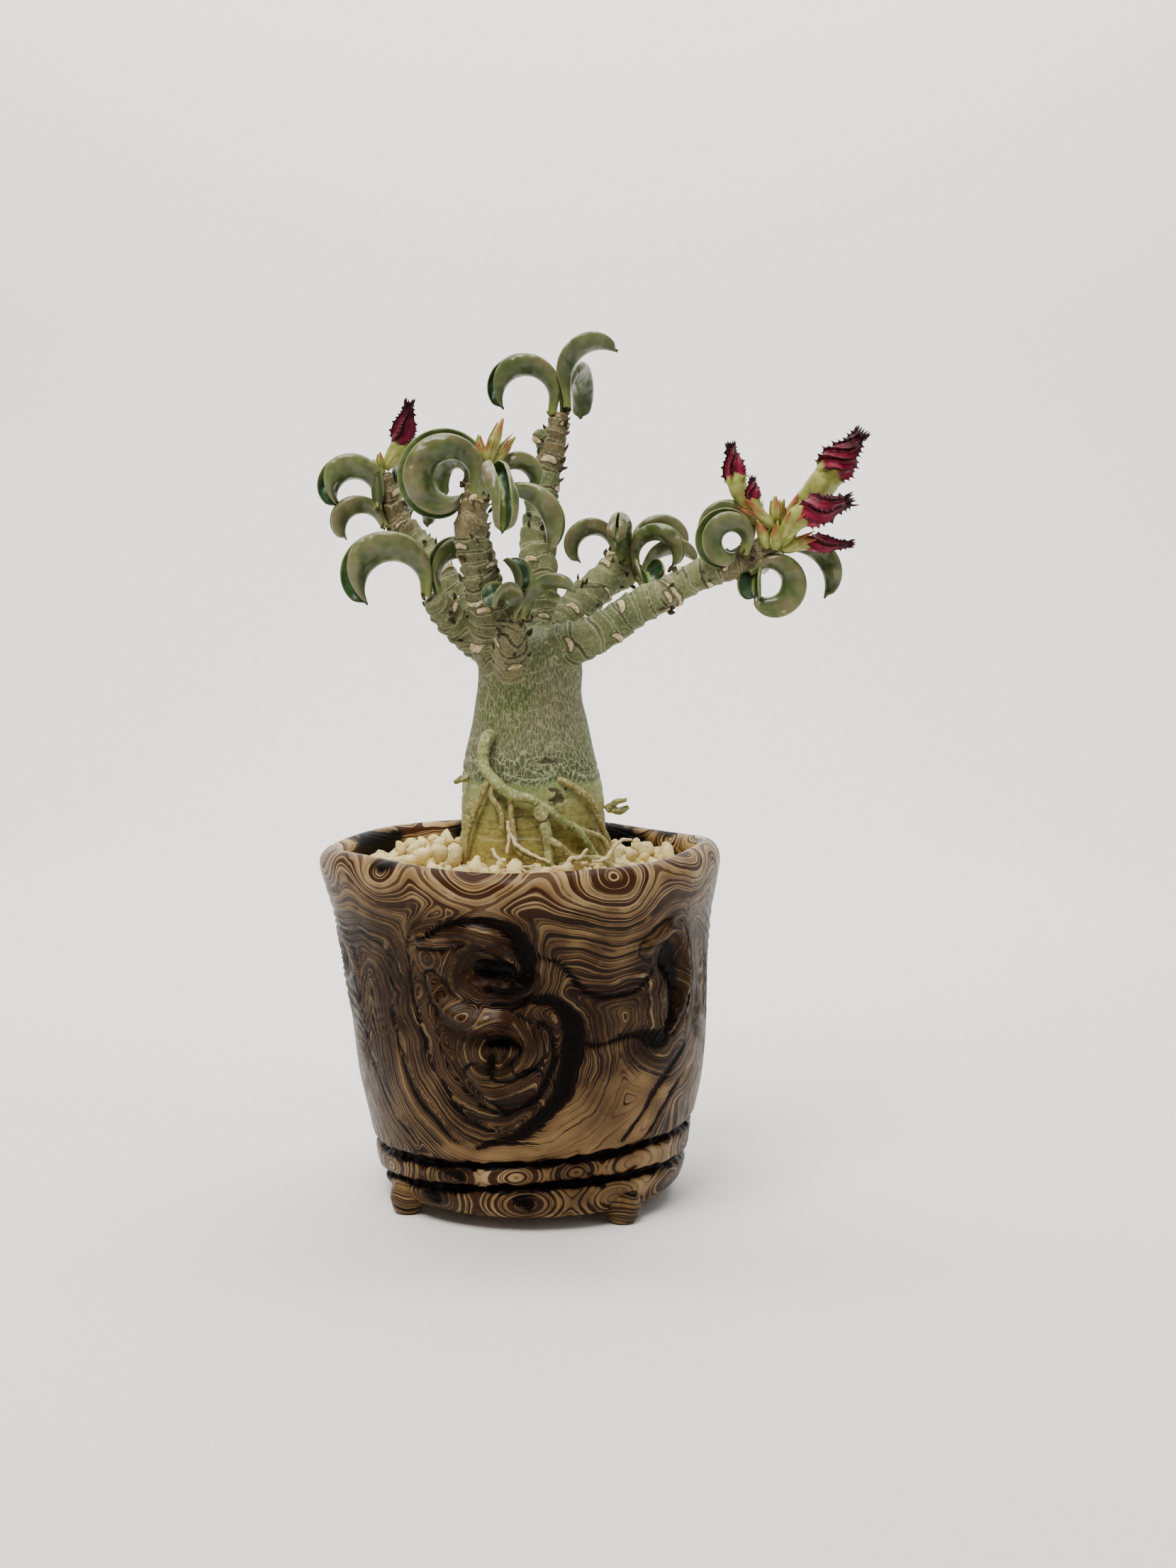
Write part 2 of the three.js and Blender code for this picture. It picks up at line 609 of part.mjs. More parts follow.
// Closed buds still in their sepals, several to a cluster. Each is a foot, a tip and a girth.
const budClusters = {
  buds_far_left: [
    { foot: [-39.6, 22.4, 187], tip: [-39.8, 22, 191.5], girth: 1.1 },
    { foot: [-40.2, 23.2, 186.6], tip: [-42, 23.8, 189.6], girth: 0.9 },
  ],
  buds_centre: [
    { foot: [-9.9, -19.4, 187], tip: [-5.7, -19, 198.2], girth: 1.7 },
    { foot: [-8.9, -18.2, 186.6], tip: [-2.5, -17, 193.6], girth: 1.5 },
    { foot: [-11, -19.6, 186.6], tip: [-12, -20, 194], girth: 1.5 },
    { foot: [-11.2, -18.4, 186.4], tip: [-14.6, -17.4, 191.2], girth: 1.2 },
    { foot: [-9.6, -20.6, 186.4], tip: [-8.8, -22.4, 193], girth: 1.3 },
  ],
  buds_long_right: [
    { foot: [60.6, -14.4, 172.6], tip: [60.6, -14, 179.4], girth: 1.4 },
    { foot: [61.4, -15, 172.4], tip: [62.6, -18.4, 178.4], girth: 1.3 },
    { foot: [61.2, -13.4, 172.4], tip: [62.6, -10, 177.6], girth: 1.2 },
  ],
};

const petalTurns = 0.42; // how far the furled petals wind round the bud, in turns
const petalCount = 5;
const sepalCount = 5;
const petalRows = [0, 0.14, 0.3, 0.45, 0.6, 0.74, 0.87, 0.93]; // shares of the length
const toothedRows = [2, 4, 6]; // where the petals' toothed edges stand out

// The furled petals: five ribs that wind round a tapering cone and end in a crown of points.
function makePetals(bud, grow) {
  const foot = vec(...bud.tube.at(-1));
  const tip = vec(...bud.tip);
  const along = tip.clone().sub(foot).normalize();
  const length = foot.distanceTo(tip) - clearance;
  const start = foot.clone().addScaledVector(along, clearance - grow);
  const normal = vec(-along.z, 0.3, along.x).cross(along).normalize();
  const ringAt = (share, radiusAt, riseAt = () => 0) => {
    const ring = [];
    for (let k = 0; k < petalCount * 2; k++) {
      const turn = (k / (petalCount * 2) + petalTurns * share) * Math.PI * 2;
      const rib = k % 2 === 0;
      ring.push(start.clone()
        .addScaledVector(along, share * length + riseAt(rib))
        .addScaledVector(normal.clone().applyAxisAngle(along, turn), bud.girth * radiusAt(rib) + grow));
    }
    return ring;
  };
  const rings = petalRows.map((share, row) => {
    const body = 0.88 + 0.2 * Math.sin(Math.PI * Math.min(1, share * 1.5)) - 0.62 * smooth(share, 0.35, 1);
    const toothed = toothedRows.includes(row);
    return ringAt(share, (rib) => body * (rib ? (toothed ? 1.22 : 1.04) : 0.84));
  });
  const point = 0.22 * bud.girth; // height of the crown's points
  rings.push(ringAt(1, (rib) => (rib ? 0.56 : 0.34), (rib) => (rib ? point : 0)));
  rings.push(ringAt(1, () => 0.12, () => 0.3 * point));
  return loft(rings);
}

// The tube widens from its foot to the petals, with five pointed sepals at its foot.
function makeBudTube(bud, grow) {
  const [foot, middle, head] = bud.tube;
  const body = tube([
    [...foot, bud.girth * 0.42],
    [...middle, bud.girth * 0.62],
    [...head, bud.girth * 0.84],
  ], { sides: 8, step: 3, grow });
  const along = vec(...middle).sub(vec(...foot)).normalize();
  const sepals = [];
  for (let k = 0; k < sepalCount; k++) {
    const turn = (k / sepalCount) * Math.PI * 2;
    const normal = vec(-along.z, 0.3, along.x).cross(along).normalize().applyAxisAngle(along, turn);
    const base = vec(...foot).addScaledVector(along, 0.4).addScaledVector(normal, bud.girth * 0.3);
    const tip = vec(...foot)
      .addScaledVector(along, 2.4 + bud.girth)
      .addScaledVector(normal, bud.girth * 1.05);
    sepals.push(tube([[...base.toArray(), 0.9], [...tip.toArray(), 0.35]], { sides: 3, step: 9, grow }));
  }
  return joined([body, ...sepals]);
}

function makeCluster(list, grow) {
  const pieces = list.map(({ foot, tip, girth }) => {
    const a = vec(...foot);
    const b = vec(...tip);
    const stops = [[0, 0.8], [0.25, 1], [0.6, 0.75], [1, 0.2]]
      .map(([u, share]) => [...a.clone().lerp(b, u).toArray(), girth * share]);
    return tube(stops, { sides: 5, step: a.distanceTo(b) / 3, grow });
  });
  // a small boss that the buds of the cluster stand on
  const centre = vec(0, 0, 0);
  for (const { foot } of list) centre.addScaledVector(vec(...foot), 1 / list.length);
  const boss = [[-1.2, 1.1], [1.2, 1.3]].map(([dz, r]) => [centre.x, centre.y, centre.z + dz, r]);
  return joined([...pieces, tube(boss, { sides: 6, step: 9, grow })]);
}

// Materials, one for each kind of piece.
const look = (color, roughness) => new THREE.MeshStandardMaterial({ color, roughness, metalness: 0 });
const materials = {
  ceramic: look("#9b7a52", 0.4),
  pumice: look("#d9cfb4", 0.95),
  bark: look("#7f8a63", 0.75),
  leaf: look("#6f8254", 0.55),
  budTube: look("#9aa860", 0.55),
  petal: look("#8a1030", 0.6),
};

const model = new THREE.Group();

function addPiece(name, solid, material) {
  const mesh = solid.getMesh();
  const geometry = new THREE.BufferGeometry();
  geometry.setAttribute("position", new THREE.BufferAttribute(new Float32Array(mesh.vertProperties), 3));
  geometry.setIndex(new THREE.BufferAttribute(new Uint32Array(mesh.triVerts), 1));
  const piece = new THREE.Mesh(geometry, material);
  piece.name = name;
  model.add(piece);
}

// Each plant piece is cut back by the ones placed before it, so that it keeps its gap to them.
const placed = [];
function addClear(name, build, material) {
  const own = build(0);
  let clear = own;
  const box = own.boundingBox();
  for (const other of placed) {
    const near = [0, 1, 2].every((k) => box.min[k] < other.box.max[k] && box.max[k] > other.box.min[k]);
    if (near) clear = clear.subtract(other.space);
  }
  const solid = mainBody(clear);
  const space = build(clearance);
  placed.push({ space, box: space.boundingBox() });
  addPiece(name, solid, material);
}

addPiece("pot", makePot(), materials.ceramic);
const plantSpace = makePlantBody(clearance + 0.05);
addPiece("substrate", makeSubstrate(plantSpace), materials.pumice);
addClear("caudex", makePlantBody, materials.bark);
for (const [name, bud] of Object.entries(buds)) {
  addClear(`${name}_tube`, (grow) => makeBudTube(bud, grow), materials.budTube);
  addClear(`${name}_petals`, (grow) => makePetals(bud, grow), materials.petal);
}
for (const [name, list] of Object.entries(budClusters)) {
  addClear(name, (grow) => makeCluster(list, grow), materials.budTube);
}
for (const [name, leaf] of Object.entries(leaves)) {
  addClear(name, (grow) => loft(leafRings(leaf, grow), bladeInside), materials.leaf);
}

// The part's own frame: +Z up, the origin under the middle of everything, on the surface it stands on.
const whole = new THREE.Box3().setFromObject(model);
const middle = whole.getCenter(vec());
model.position.set(-middle.x, -middle.y, -whole.min.z);

const group = new THREE.Group();
group.add(model);

export default group;
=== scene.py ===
import functools
import json
import math
import bmesh
import bpy
import numpy as np
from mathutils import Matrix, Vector


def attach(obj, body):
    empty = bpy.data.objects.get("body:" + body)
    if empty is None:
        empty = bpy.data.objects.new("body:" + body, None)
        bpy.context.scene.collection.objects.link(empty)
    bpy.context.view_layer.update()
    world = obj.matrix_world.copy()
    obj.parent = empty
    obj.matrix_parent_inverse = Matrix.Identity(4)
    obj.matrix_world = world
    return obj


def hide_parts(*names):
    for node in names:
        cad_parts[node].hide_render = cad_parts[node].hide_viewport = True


# Desert rose in a marbled stoneware pot. Everything below is laid out in millimetres round the pot's own
# axis, z = 0 on the table, +X to the right and +Y away from the camera. toRow() turns that into the row's
# metres.
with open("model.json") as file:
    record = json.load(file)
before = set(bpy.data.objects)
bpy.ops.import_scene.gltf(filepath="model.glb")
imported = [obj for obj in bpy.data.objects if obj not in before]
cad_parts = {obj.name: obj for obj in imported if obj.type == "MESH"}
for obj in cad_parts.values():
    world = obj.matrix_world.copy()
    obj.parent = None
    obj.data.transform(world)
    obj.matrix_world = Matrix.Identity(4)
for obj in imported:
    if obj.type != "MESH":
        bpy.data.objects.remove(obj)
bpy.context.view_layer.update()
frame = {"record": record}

footCircle = 37.0
footTurns = {"foot_left": 214, "foot_right": 309, "foot_back": 82}


def findPotAxis():
    places = []
    for mount in frame["record"]["mounts"]:
        turn = math.radians(footTurns[mount["name"]])
        x, y, _ = mount["pos_m"]
        places.append((x * 1000 - footCircle * math.cos(turn), y * 1000 - footCircle * math.sin(turn), 0))
    return np.mean(places, axis=0)


potAxis = findPotAxis()


def toRow(points):
    return (np.asarray(points, float) + potAxis) / 1000


# Camera: the photo's view, 1659 x 2212
photoHeight = 2212
cameraLook = dict(focalPixels=3050, downPixels=338, place=(14.7, -550, 167), filmHeight=36)
camera = bpy.data.objects.new("camera", bpy.data.cameras.new("camera"))
camera.data.sensor_width = cameraLook["filmHeight"]
camera.data.lens = cameraLook["focalPixels"] / photoHeight * cameraLook["filmHeight"]
camera.data.clip_start = 0.01
camera.location = toRow(cameraLook["place"])
camera.rotation_euler = (math.pi / 2 - math.atan(cameraLook["downPixels"] / cameraLook["focalPixels"]), 0, 0)
bpy.context.scene.collection.objects.link(camera)
bpy.context.scene.camera = camera
print("camera is in place")


# Small maths

def ramp(x, low, high):
    t = np.clip((x - low) / (high - low), 0, 1)
    return t * t * (3 - 2 * t)


def mix(a, b, t):
    return a + (b - a) * t


def latticeHash(ix, iy, iz, seed):
    h = (ix * 374761393 + iy * 668265263 + iz * 2147483647 + seed * 1274126177) & 0xFFFFFFFF
    h = ((h ^ (h >> 13)) * 1274126177) & 0xFFFFFFFF
    return ((h ^ (h >> 16)) & 0xFFFF) / 32767.5 - 1


def lumps(points, size, seed):  # smooth noise from -1 to 1, with lumps of that size in mm
    q = np.asarray(points, float) / size
    base = np.floor(q).astype(np.int64)
    f = q - base
    f = f * f * (3 - 2 * f)
    total = np.zeros(q.shape[:-1])
    for corner in np.ndindex(2, 2, 2):
        weight = np.prod(np.where(np.array(corner) == 1, f, 1 - f), axis=-1)
        cell = base + np.array(corner)
        total += weight * latticeHash(cell[..., 0], cell[..., 1], cell[..., 2], seed)
    return total


def smoothPath(stops, step):  # a centripetal spline through the stops, evenly spaced; extra columns follow
    stops = np.asarray(stops, float)
    knots = np.vstack([2 * stops[0] - stops[1], stops, 2 * stops[-1] - stops[-2]])
    gaps = np.maximum(np.linalg.norm(np.diff(knots[:, :3], axis=0), axis=1), 1e-6) ** 0.5
    samples = []
    for i in range(1, len(knots) - 2):
        before, here, after = gaps[i - 1], gaps[i], gaps[i + 1]
        slopeIn = (knots[i] - knots[i - 1]) / before - (knots[i + 1] - knots[i - 1]) / (before + here)
        slopeIn = (slopeIn + (knots[i + 1] - knots[i]) / here) * here
        slopeOut = (knots[i + 1] - knots[i]) / here - (knots[i + 2] - knots[i]) / (here + after)
        slopeOut = (slopeOut + (knots[i + 2] - knots[i + 1]) / after) * here
        t = np.linspace(0, 1, 17)[:-1, None]
        samples.append((2 * t**3 - 3 * t**2 + 1) * knots[i] + (t**3 - 2 * t**2 + t) * slopeIn
                       + (3 * t**2 - 2 * t**3) * knots[i + 1] + (t**3 - t**2) * slopeOut)
    samples = np.vstack(samples + [stops[-1:]])
    along = np.concatenate([[0], np.cumsum(np.linalg.norm(np.diff(samples[:, :3], axis=0), axis=1))])
    even = np.linspace(0, along[-1], max(2, int(round(along[-1] / step)) + 1))
    return np.stack([np.interp(even, along, column) for column in samples.T], -1), even


def unit(v):
    return v / np.maximum(np.linalg.norm(v, axis=-1, keepdims=True), 1e-9)


def pathFrames(centres):  # tangent, normal and side at each point, without twist
    tangents = unit(np.gradient(centres, axis=0))
    normals = np.zeros_like(tangents)
    normal = np.array([-tangents[0][2], 0.3, tangents[0][0]])
    for i, tangent in enumerate(tangents):
        normal = normal - tangent * np.dot(normal, tangent)
        normal = normal / np.linalg.norm(normal)
        normals[i] = normal
    return tangents, normals, np.cross(tangents, normals)


# Meshes are gathered in a Shape: points in mm, faces, and one value a point for each named attribute.

class Shape:
    def __init__(self, *names):
        self.points, self.faces, self.size = [], [], 0
        self.values = {name: [] for name in names}

    def add(self, points, faces, **values):
        points = np.asarray(points, float).reshape(-1, 3)
        self.points.append(points)
        self.faces.extend((np.asarray(faces) + self.size).tolist())
        for name, kept in self.values.items():
            kept.append(np.broadcast_to(np.ravel(values.get(name, 0.0)), (len(points),)))
        self.size += len(points)

    def loft(self, rings, caps=(True, True), looped=False, **values):
        rows, columns = rings.shape[:2]
        grid = np.arange(rows * columns).reshape(rows, columns)
        upper = np.roll(grid, -1, 0) if looped else grid[1:]
        lower = grid if looped else grid[:-1]
        faces = np.stack([lower, np.roll(lower, -1, 1), np.roll(upper, -1, 1), upper], -1).reshape(-1, 4)
        flat = {name: np.broadcast_to(value, (rows, columns)).ravel() for name, value in values.items()}
        first = self.size
        self.add(rings, faces, **flat)
        for wanted, row in zip(caps, (0, rows - 1)):
            if wanted and not looped:
                ring = (grid[row] + first).tolist()
                self.faces.append(ring[::-1] if row == 0 else ring)

    def make(self, name, material, replaced=()):
        mesh = bpy.data.meshes.new(name)
        mesh.from_pydata(toRow(np.vstack(self.points)).tolist(), [], self.faces)
        for key, values in self.values.items():
            writeValues(mesh, key, np.concatenate(values))
        return finishPiece(name, mesh, material, replaced)


def writeValues(mesh, key, values):
    mesh.attributes.new(key, "FLOAT", "POINT").data.foreach_set("value", values.astype(np.float32))


def finishPiece(name, mesh, material, replaced=()):
    mesh.materials.append(material)
    mesh.shade_smooth()
    piece = bpy.data.objects.new(name, mesh)
    bpy.context.scene.collection.objects.link(piece)
    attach(piece, "root")
    if replaced:
        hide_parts(*replaced)
    return piece


def tube(shape, stops, sides, step, swell=None, caps=(True, True), **values):
    samples, along = smoothPath(stops, step)
    centres, radii = samples[:, :3], samples[:, 3]
    _, normals, across = pathFrames(centres)
    turn = np.arange(sides) / sides * 2 * math.pi
    reach = np.broadcast_to(radii[:, None], (len(radii), sides))
    if swell:
        reach = reach * swell(along[:, None], turn[None, :])
    rings = (centres[:, None] + normals[:, None] * (reach * np.cos(turn))[..., None]
             + across[:, None] * (reach * np.sin(turn))[..., None])
    shape.loft(rings, caps, **values)
    return rings


# Materials

def linear(hexColour):
    channels = [int(hexColour[i:i + 2], 16) / 255 for i in (1, 3, 5)]
    return [c / 12.92 if c <= 0.04045 else ((c + 0.055) / 1.055) ** 2.4 for c in channels] + [1]


def add(tree, kind, settings, output=0):
    # one node with its settings, and its links where a value is another node's output
    made = tree.nodes.new("ShaderNode" + kind)
    for key, value in settings.items():
        if isinstance(value, bpy.types.NodeSocket):
            tree.links.new(value, made.inputs[key])
        elif key == "stops":
            elements = made.color_ramp.elements
            while len(elements) < len(value):
                elements.new(0.5)
            for element, (position, colour) in zip(elements, value):
                element.position = position
                element.color = linear(colour) if isinstance(colour, str) else (colour, colour, colour, 1)
        elif isinstance(key, str) and hasattr(made, key):
            setattr(made, key, value)
        else:
            made.inputs[key].default_value = linear(value) if isinstance(value, str) else value
    return made.outputs[output] if output is not None else made


def startMaterial(name, *attributes):
    # the material, add() for its node tree, object coordinates in metres and the mesh attributes by name
    material = bpy.data.materials.new(name)
    material.use_nodes = True
    material.node_tree.nodes.clear()
    node = functools.partial(add, material.node_tree)
    read = [node("Attribute", {"attribute_name": key}, "Fac") for key in attributes]
    return [material, node, node("TexCoord", {}, "Object")] + read


def paint(node, colour, layers):
    # lays colours over one another: each has its share and its colour, and the share is a node's output or
    # what steers it, where it starts, where it is full, how much it then covers and what holds it back
    for share, over in layers:
        if isinstance(share, tuple):
            steer, start, full, most, *held = share
            share = node("MapRange", {"Value": steer, "From Min": start, "From Max": full, "To Max": most})
            for amount in held:
                share = node("Math", {"operation": "MULTIPLY", 0: share, 1: amount})
        colour = node("Mix", {"data_type": "RGBA", 0: share, 6: colour, 7: over}, 2)
    return colour


# The pot

pot = dict(
    rimHeight=91, rimLean=-3.1, wallRadius=46, columns=412, wallStep=0.55, insideStep=6,
    footSole=2.8, footWaist=3.7, footTop=5.4, footHeight=8.4,
    grooveDepth=1.9, grooveWidth=1.1, inkDepth=0.3, grainRelief=0.22, drag=1.15, dragReach=1.2, dragWiden=1.3,
    spreadOut=0.3, softInset=0.8, dragsFrom=1.25,
)
# the wall's profile without its grooves: radius and height, from under the base, up, over the lip and in
outerProfile = [
    (36.5, 3.4), (38.2, 5.2), (39.7, 9), (40.6, 14), (41.6, 19.5), (43.0, 26), (44.2, 32), (44.9, 37.5),
    (45.4, 42.5), (45.7, 47.5), (46.1, 53.5), (46.6, 59), (47.2, 64.5), (47.7, 69), (48.4, 74), (50.1, 81),
    (51.1, 86), (50.8, 88.4), (49.5, 90.2), (47.7, 91), (46.2, 90.3), (45.4, 88.6), (45.5, 85), (45.6, 82),
]
innerProfile = [
    (45.6, 82), (41.6, 60), (38.2, 30), (33, 9), (20, 9), (5.5, 9), (5.5, 3.4), (15, 3.4), (26, 3.4),
    (36.5, 3.4),
]
# carved hollows and swells: turn in degrees (-90 faces the camera), height, size across and up, depth
knots = [
    (-100, 66, 11, 9, 1.2), (-99, 67, 5.6, 3.0, -4.6), (-90, 66, 2.6, 6, -1.6), (-99, 47.5, 12, 9, 1.1),
    (-97, 49.5, 4.4, 1.6, -3.6), (-100.5, 44, 1.3, 4.4, -3.0), (-95.5, 44.6, 1.2, 3.2, -2.2),
    (-117, 70, 4, 4, 0.9), (-40, 63.5, 9, 12, 1.2), (-40, 66, 4, 5, -3.6), (-37, 58, 3, 6, -2.6),
    (28, 42, 10, 9, 1), (28, 42, 5, 4.5, -3), (-162, 62, 9, 9, 1.2), (-163, 63, 4, 4.5, -3.2),
    (84, 60, 12, 10, 1.2), (86, 61, 5, 5, -3.2), (148, 38, 10, 11, 1.1), (150, 39, 5, 6, -3),
]
# rolls of clay that stand proud: height, then turn, height and width along each
rolls = [
    (2.1, [(-119, 74, 3), (-110, 75.5, 4), (-101, 75.5, 4.5), (-92.5, 72, 4), (-90.5, 66, 3)]),
    (2.8, [(-117, 64, 3), (-114, 58.5, 5), (-107, 55, 6.5), (-98, 54, 6), (-90, 52, 5), (-87.5, 47, 4.5),
           (-91, 43.5, 3)]),
    (1.4, [(-96, 62.6, 2), (-91, 62.6, 3.4), (-87, 64.5, 3)]),
    (1.4, [(-106, 41, 3), (-101, 37, 3.6), (-94, 36.5, 4), (-87.5, 40, 3.6)]),
    (1.6, [(-50, 70, 3), (-44, 73.5, 4), (-36, 72, 4.5), (-31.5, 64, 4), (-33, 55, 4), (-38, 50, 3)]),
]
# grain: each eye has its hearts (turn, height), the ring at "reach" mm that meets the strata at "level",
# a stretch across, and rings a mm
grainEyes = [
    dict(hearts=[(-101, 67), (-98, 47.5)], reach=12.5, level=11, across=1.0, gain=1.0),
    dict(hearts=[(-117.5, 70)], reach=4.5, level=9.5, across=1.0, gain=1.5),
    dict(hearts=[(-107, 57.5)], reach=4.5, level=7.6, across=1.5, gain=1.6),
    dict(hearts=[(-40, 68), (-38, 57)], reach=9, level=12, across=0.8, gain=1.1),
    dict(hearts=[(-60, 22)], reach=19, level=34, across=1.5, gain=0.55),
    dict(hearts=[(28, 42)], reach=12, level=60, across=1.2, gain=1.0),
    dict(hearts=[(60, 69)], reach=8, level=18, across=1.5, gain=0.9),
    dict(hearts=[(84, 60), (88, 48)], reach=12, level=30, across=1.0, gain=1.0),
    dict(hearts=[(118, 29)], reach=11, level=42, across=1.6, gain=0.7),
    dict(hearts=[(149, 38)], reach=12, level=52, across=1.0, gain=1.0),
    dict(hearts=[(185, 65)], reach=9, level=34, across=1.2, gain=0.9),
    dict(hearts=[(-8, 42)], reach=8, level=58, across=1.3, gain=0.9),
    dict(hearts=[(-162, 62)], reach=9, level=30, across=1.0, gain=1.0),
]
# eyes on the lip: turn, height and reach
lipEyes = [
    (-165, 89, 8), (-131, 89.5, 7), (-101, 93, 8), (-63, 89.5, 12), (-30, 93, 7), (4, 88, 9), (33, 93, 8),
    (70, 89, 10), (98, 93, 7), (134, 88.5, 9), (163, 92, 7),
]
# turns of the eyes on the rope band, and below the lower groove
bandEyes = [-150, -116, -96, -74, -52, -20, 8, 40, 71, 96, 128, 160, -174]
baseEyes = [-165, -127, -91, -58, -30, 12, 48, 100, 131, 170]
# black bands: turn, height and width in mm along each
inkStrokes = [
    [(-119, 73.5, .5), (-112, 77.3, 1.2), (-103, 79, 1.8), (-95, 78.2, 2.6), (-89.5, 74.6, 3.4),
     (-87.6, 69.5, 3.9), (-89, 64.6, 3.8), (-94.5, 61.6, 2.6), (-101, 62.6, .8)],
    [(-99, 58.6, .6), (-94, 58.2, 1.4), (-88, 59.8, 2.2), (-80.5, 58.8, 3), (-75.2, 54, 5),
     (-74.6, 48, 5.8), (-76.4, 41.5, 5.4), (-80, 34.5, 4.7), (-86.5, 28.6, 3.6), (-95, 25, 2.2),
     (-106, 22.2, 1)],
    [(-87, 54.5, .4), (-82.5, 53.2, 1.0), (-80.6, 48, 1.3), (-82.6, 40.6, 1.5), (-88, 34.6, 1.5),
     (-96, 31.6, 1.2), (-105, 32.8, .5)],
    [(-74.5, 49, 1.6), (-69, 48.2, .9), (-62, 48.4, .9), (-54, 49.2, 1.5), (-48.5, 47.4, 4.4),
     (-43, 47.4, 4.6), (-39.5, 50.6, 2), (-37, 56, .8)],
    [(-87, 71, .4), (-79, 68.6, .7), (-72.5, 62.4, 1.2), (-66, 60.2, 1.1), (-57, 59.6, 1), (-51, 61.8, .8),
     (-47, 66, .5)],
    [(-31, 43.5, 1), (-38, 40.5, 1.8), (-44.5, 35.5, 2.2), (-50, 29, 1.6), (-57.5, 22.6, 1)],
    [(-29, 37, .7), (-35, 34.6, 1.3), (-40.5, 29.6, 1.6), (-45, 24.4, 1.3), (-51, 20.8, .8)],
    [(-52, 19.4, 2.2), (-58, 18.6, 1), (-66, 19.6, .6)],
    [(-70, 16, .6), (-66, 13.6, 1.8), (-63, 11.4, 2.2)],
    [(18, 52, .8), (26, 55, 2), (36, 52, 3), (40, 44, 3.2), (37, 35, 2.4), (28, 29, 1.4), (17, 27, .7)],
    [(70, 72, .8), (80, 75, 2.2), (91, 72, 3.2), (97, 64, 3), (95, 55, 2.6), (99, 46, 3), (93, 38, 2.2),
     (82, 33, .9)],
    [(134, 52, .8), (142, 56, 1.8), (153, 53, 2.8), (160, 44, 3.2), (157, 34, 3), (148, 26, 2),
     (137, 23, .9)],
    [(178, 76, .7), (186, 70, 2), (189, 62, 2.4), (184, 54, 1.2)],
    [(-130, 7.8, 2.2), (-125, 7.2, 3)],
    [(-94, 8.6, 2.2), (-90, 8, 3)],
    [(-119, 14.6, 1.4), (-113.5, 14.2, 2.2)],
    [(10, 7, 2.4), (14, 7.2, 2.8)],
    [(98, 6.6, 2.4), (102, 6.8, 2.8)],
    [(-54, 13.4, 1.2), (-50, 14.4, 1.8)],
]
# folds of dark clay that show as crowded lines only
softStrokes = [
    [(-112, 81, .8), (-121.5, 77, 1.8), (-125, 66, 2.2), (-123, 52, 2.2), (-118, 40, 2.4),
     (-110, 30.5, 2.6), (-100, 26.4, 2), (-91, 27, 1)],
    [(-133, 70, 1), (-133, 47, 2.2), (-128, 36, 2.6), (-122, 28.5, 2.8), (-114, 23.4, 2.2),
     (-106, 21.6, 1)],
    [(-150, 66, 1.6), (-151, 48, 2), (-145, 34, 2.4), (-137, 25, 2.2), (-131, 20.5, 1.6)],
    [(-116, 64, 1), (-117, 52, 1.8), (-113, 42, 2.2), (-106, 34, 2), (-96, 31, 1)],
    [(-73, 73, 1), (-62, 70, 1.2), (-52, 72, 1)],
    [(-83, 22, 1), (-72, 26, 1.2), (-62, 35, 1), (-52, 38.6, .8)],
    [(-31, 78, 1), (-28, 66, 2), (-29, 52, 2), (-33, 40, 1)],
]
# smoky, darker clay: turn, height, size across and up, strength
smoke = [
    (-100, 67, 15, 11, 1.15), (-99, 50, 13, 12, 1.1), (-86, 42, 8, 12, .85), (-94, 35, 13, 6, .7),
    (-119, 64, 8, 18, .85), (-131, 61, 9, 19, .85), (-70, 55, 12, 9, .75), (-58, 55, 14, 7, .75),
    (-40, 62, 11, 14, 1.15), (-146, 57, 11, 22, .8), (-162, 62, 11, 13, 1.1), (-45, 46, 9, 5, .7),
    (-58, 70, 14, 5, .35), (-66, 38, 10, 5, .35), (28, 42, 13, 12, .8), (86, 58, 14, 15, .85),
    (149, 38, 13, 13, .8), (185, 64, 16, 18, .6), (-10, 60, 14, 22, .6), (55, 40, 12, 26, .5),
    (118, 66, 14, 18, .5), (-116, 14, 6, 4, .8), (-127, 7.6, 7, 4.5, .95), (-91, 8, 5, 4, .95),
    (12, 8, 6, 4, .7), (100, 8, 6, 4, .8), (-14, 14, 8, 4, .5),
]
# where few lines show: turn, height, size across and up, and the share where it isn't all
calmPlaces = [
    (-63, 31, 17, 8), (-70, 24, 14, 5), (-46, 15, 12, 4.5), (-104, 20.5, 14, 2.6), (118, 30, 20, 9),
    (4, 30, 15, 8), (60, 15, 20, 4), (150, 15, 14, 4), (-55, 9.5, 12, 4), (-68, 14.6, 5, 3, .5),
    (-106, 14.8, 4, 2.6, .5), (-73, 8, 6, 3, .6), (-55, 31, 12, 7, 1.2),
]
# black eyes on the lip, in the same way as the smoke
lipEyesDark = [
    (-131, 90, 4.2, 2.4, .5), (-5, 97, 14, 5, .8), (58, 98, 14, 6, .85), (104, 96, 12, 5, .75),
    (150, 97, 12, 6, .8), (-165, 98, 12, 6, .9), (38, 90, 6, 4, .7), (-30, 98, 12, 5, .8),
]


def turnGap(turn, degrees):
    return np.angle(np.exp(1j * (turn - math.radians(degrees))))


def potCentre(z):
    return 0.3 + pot["rimLean"] * (np.clip(z, 0, None) / pot["rimHeight"]) ** 2


def upperGroove(turn):
    return 17.9 + 2.8 * np.cos(turn)


def lowerGroove(turn):
    return 8.8 + 2.2 * np.cos(turn) + 3.0 * np.maximum(0, -np.sin(turn))


def smoothMin(values, softness):
    lowest = np.min(values, axis=0)
    return lowest - softness * np.log(sum(np.exp(-(value - lowest) / softness) for value in values))


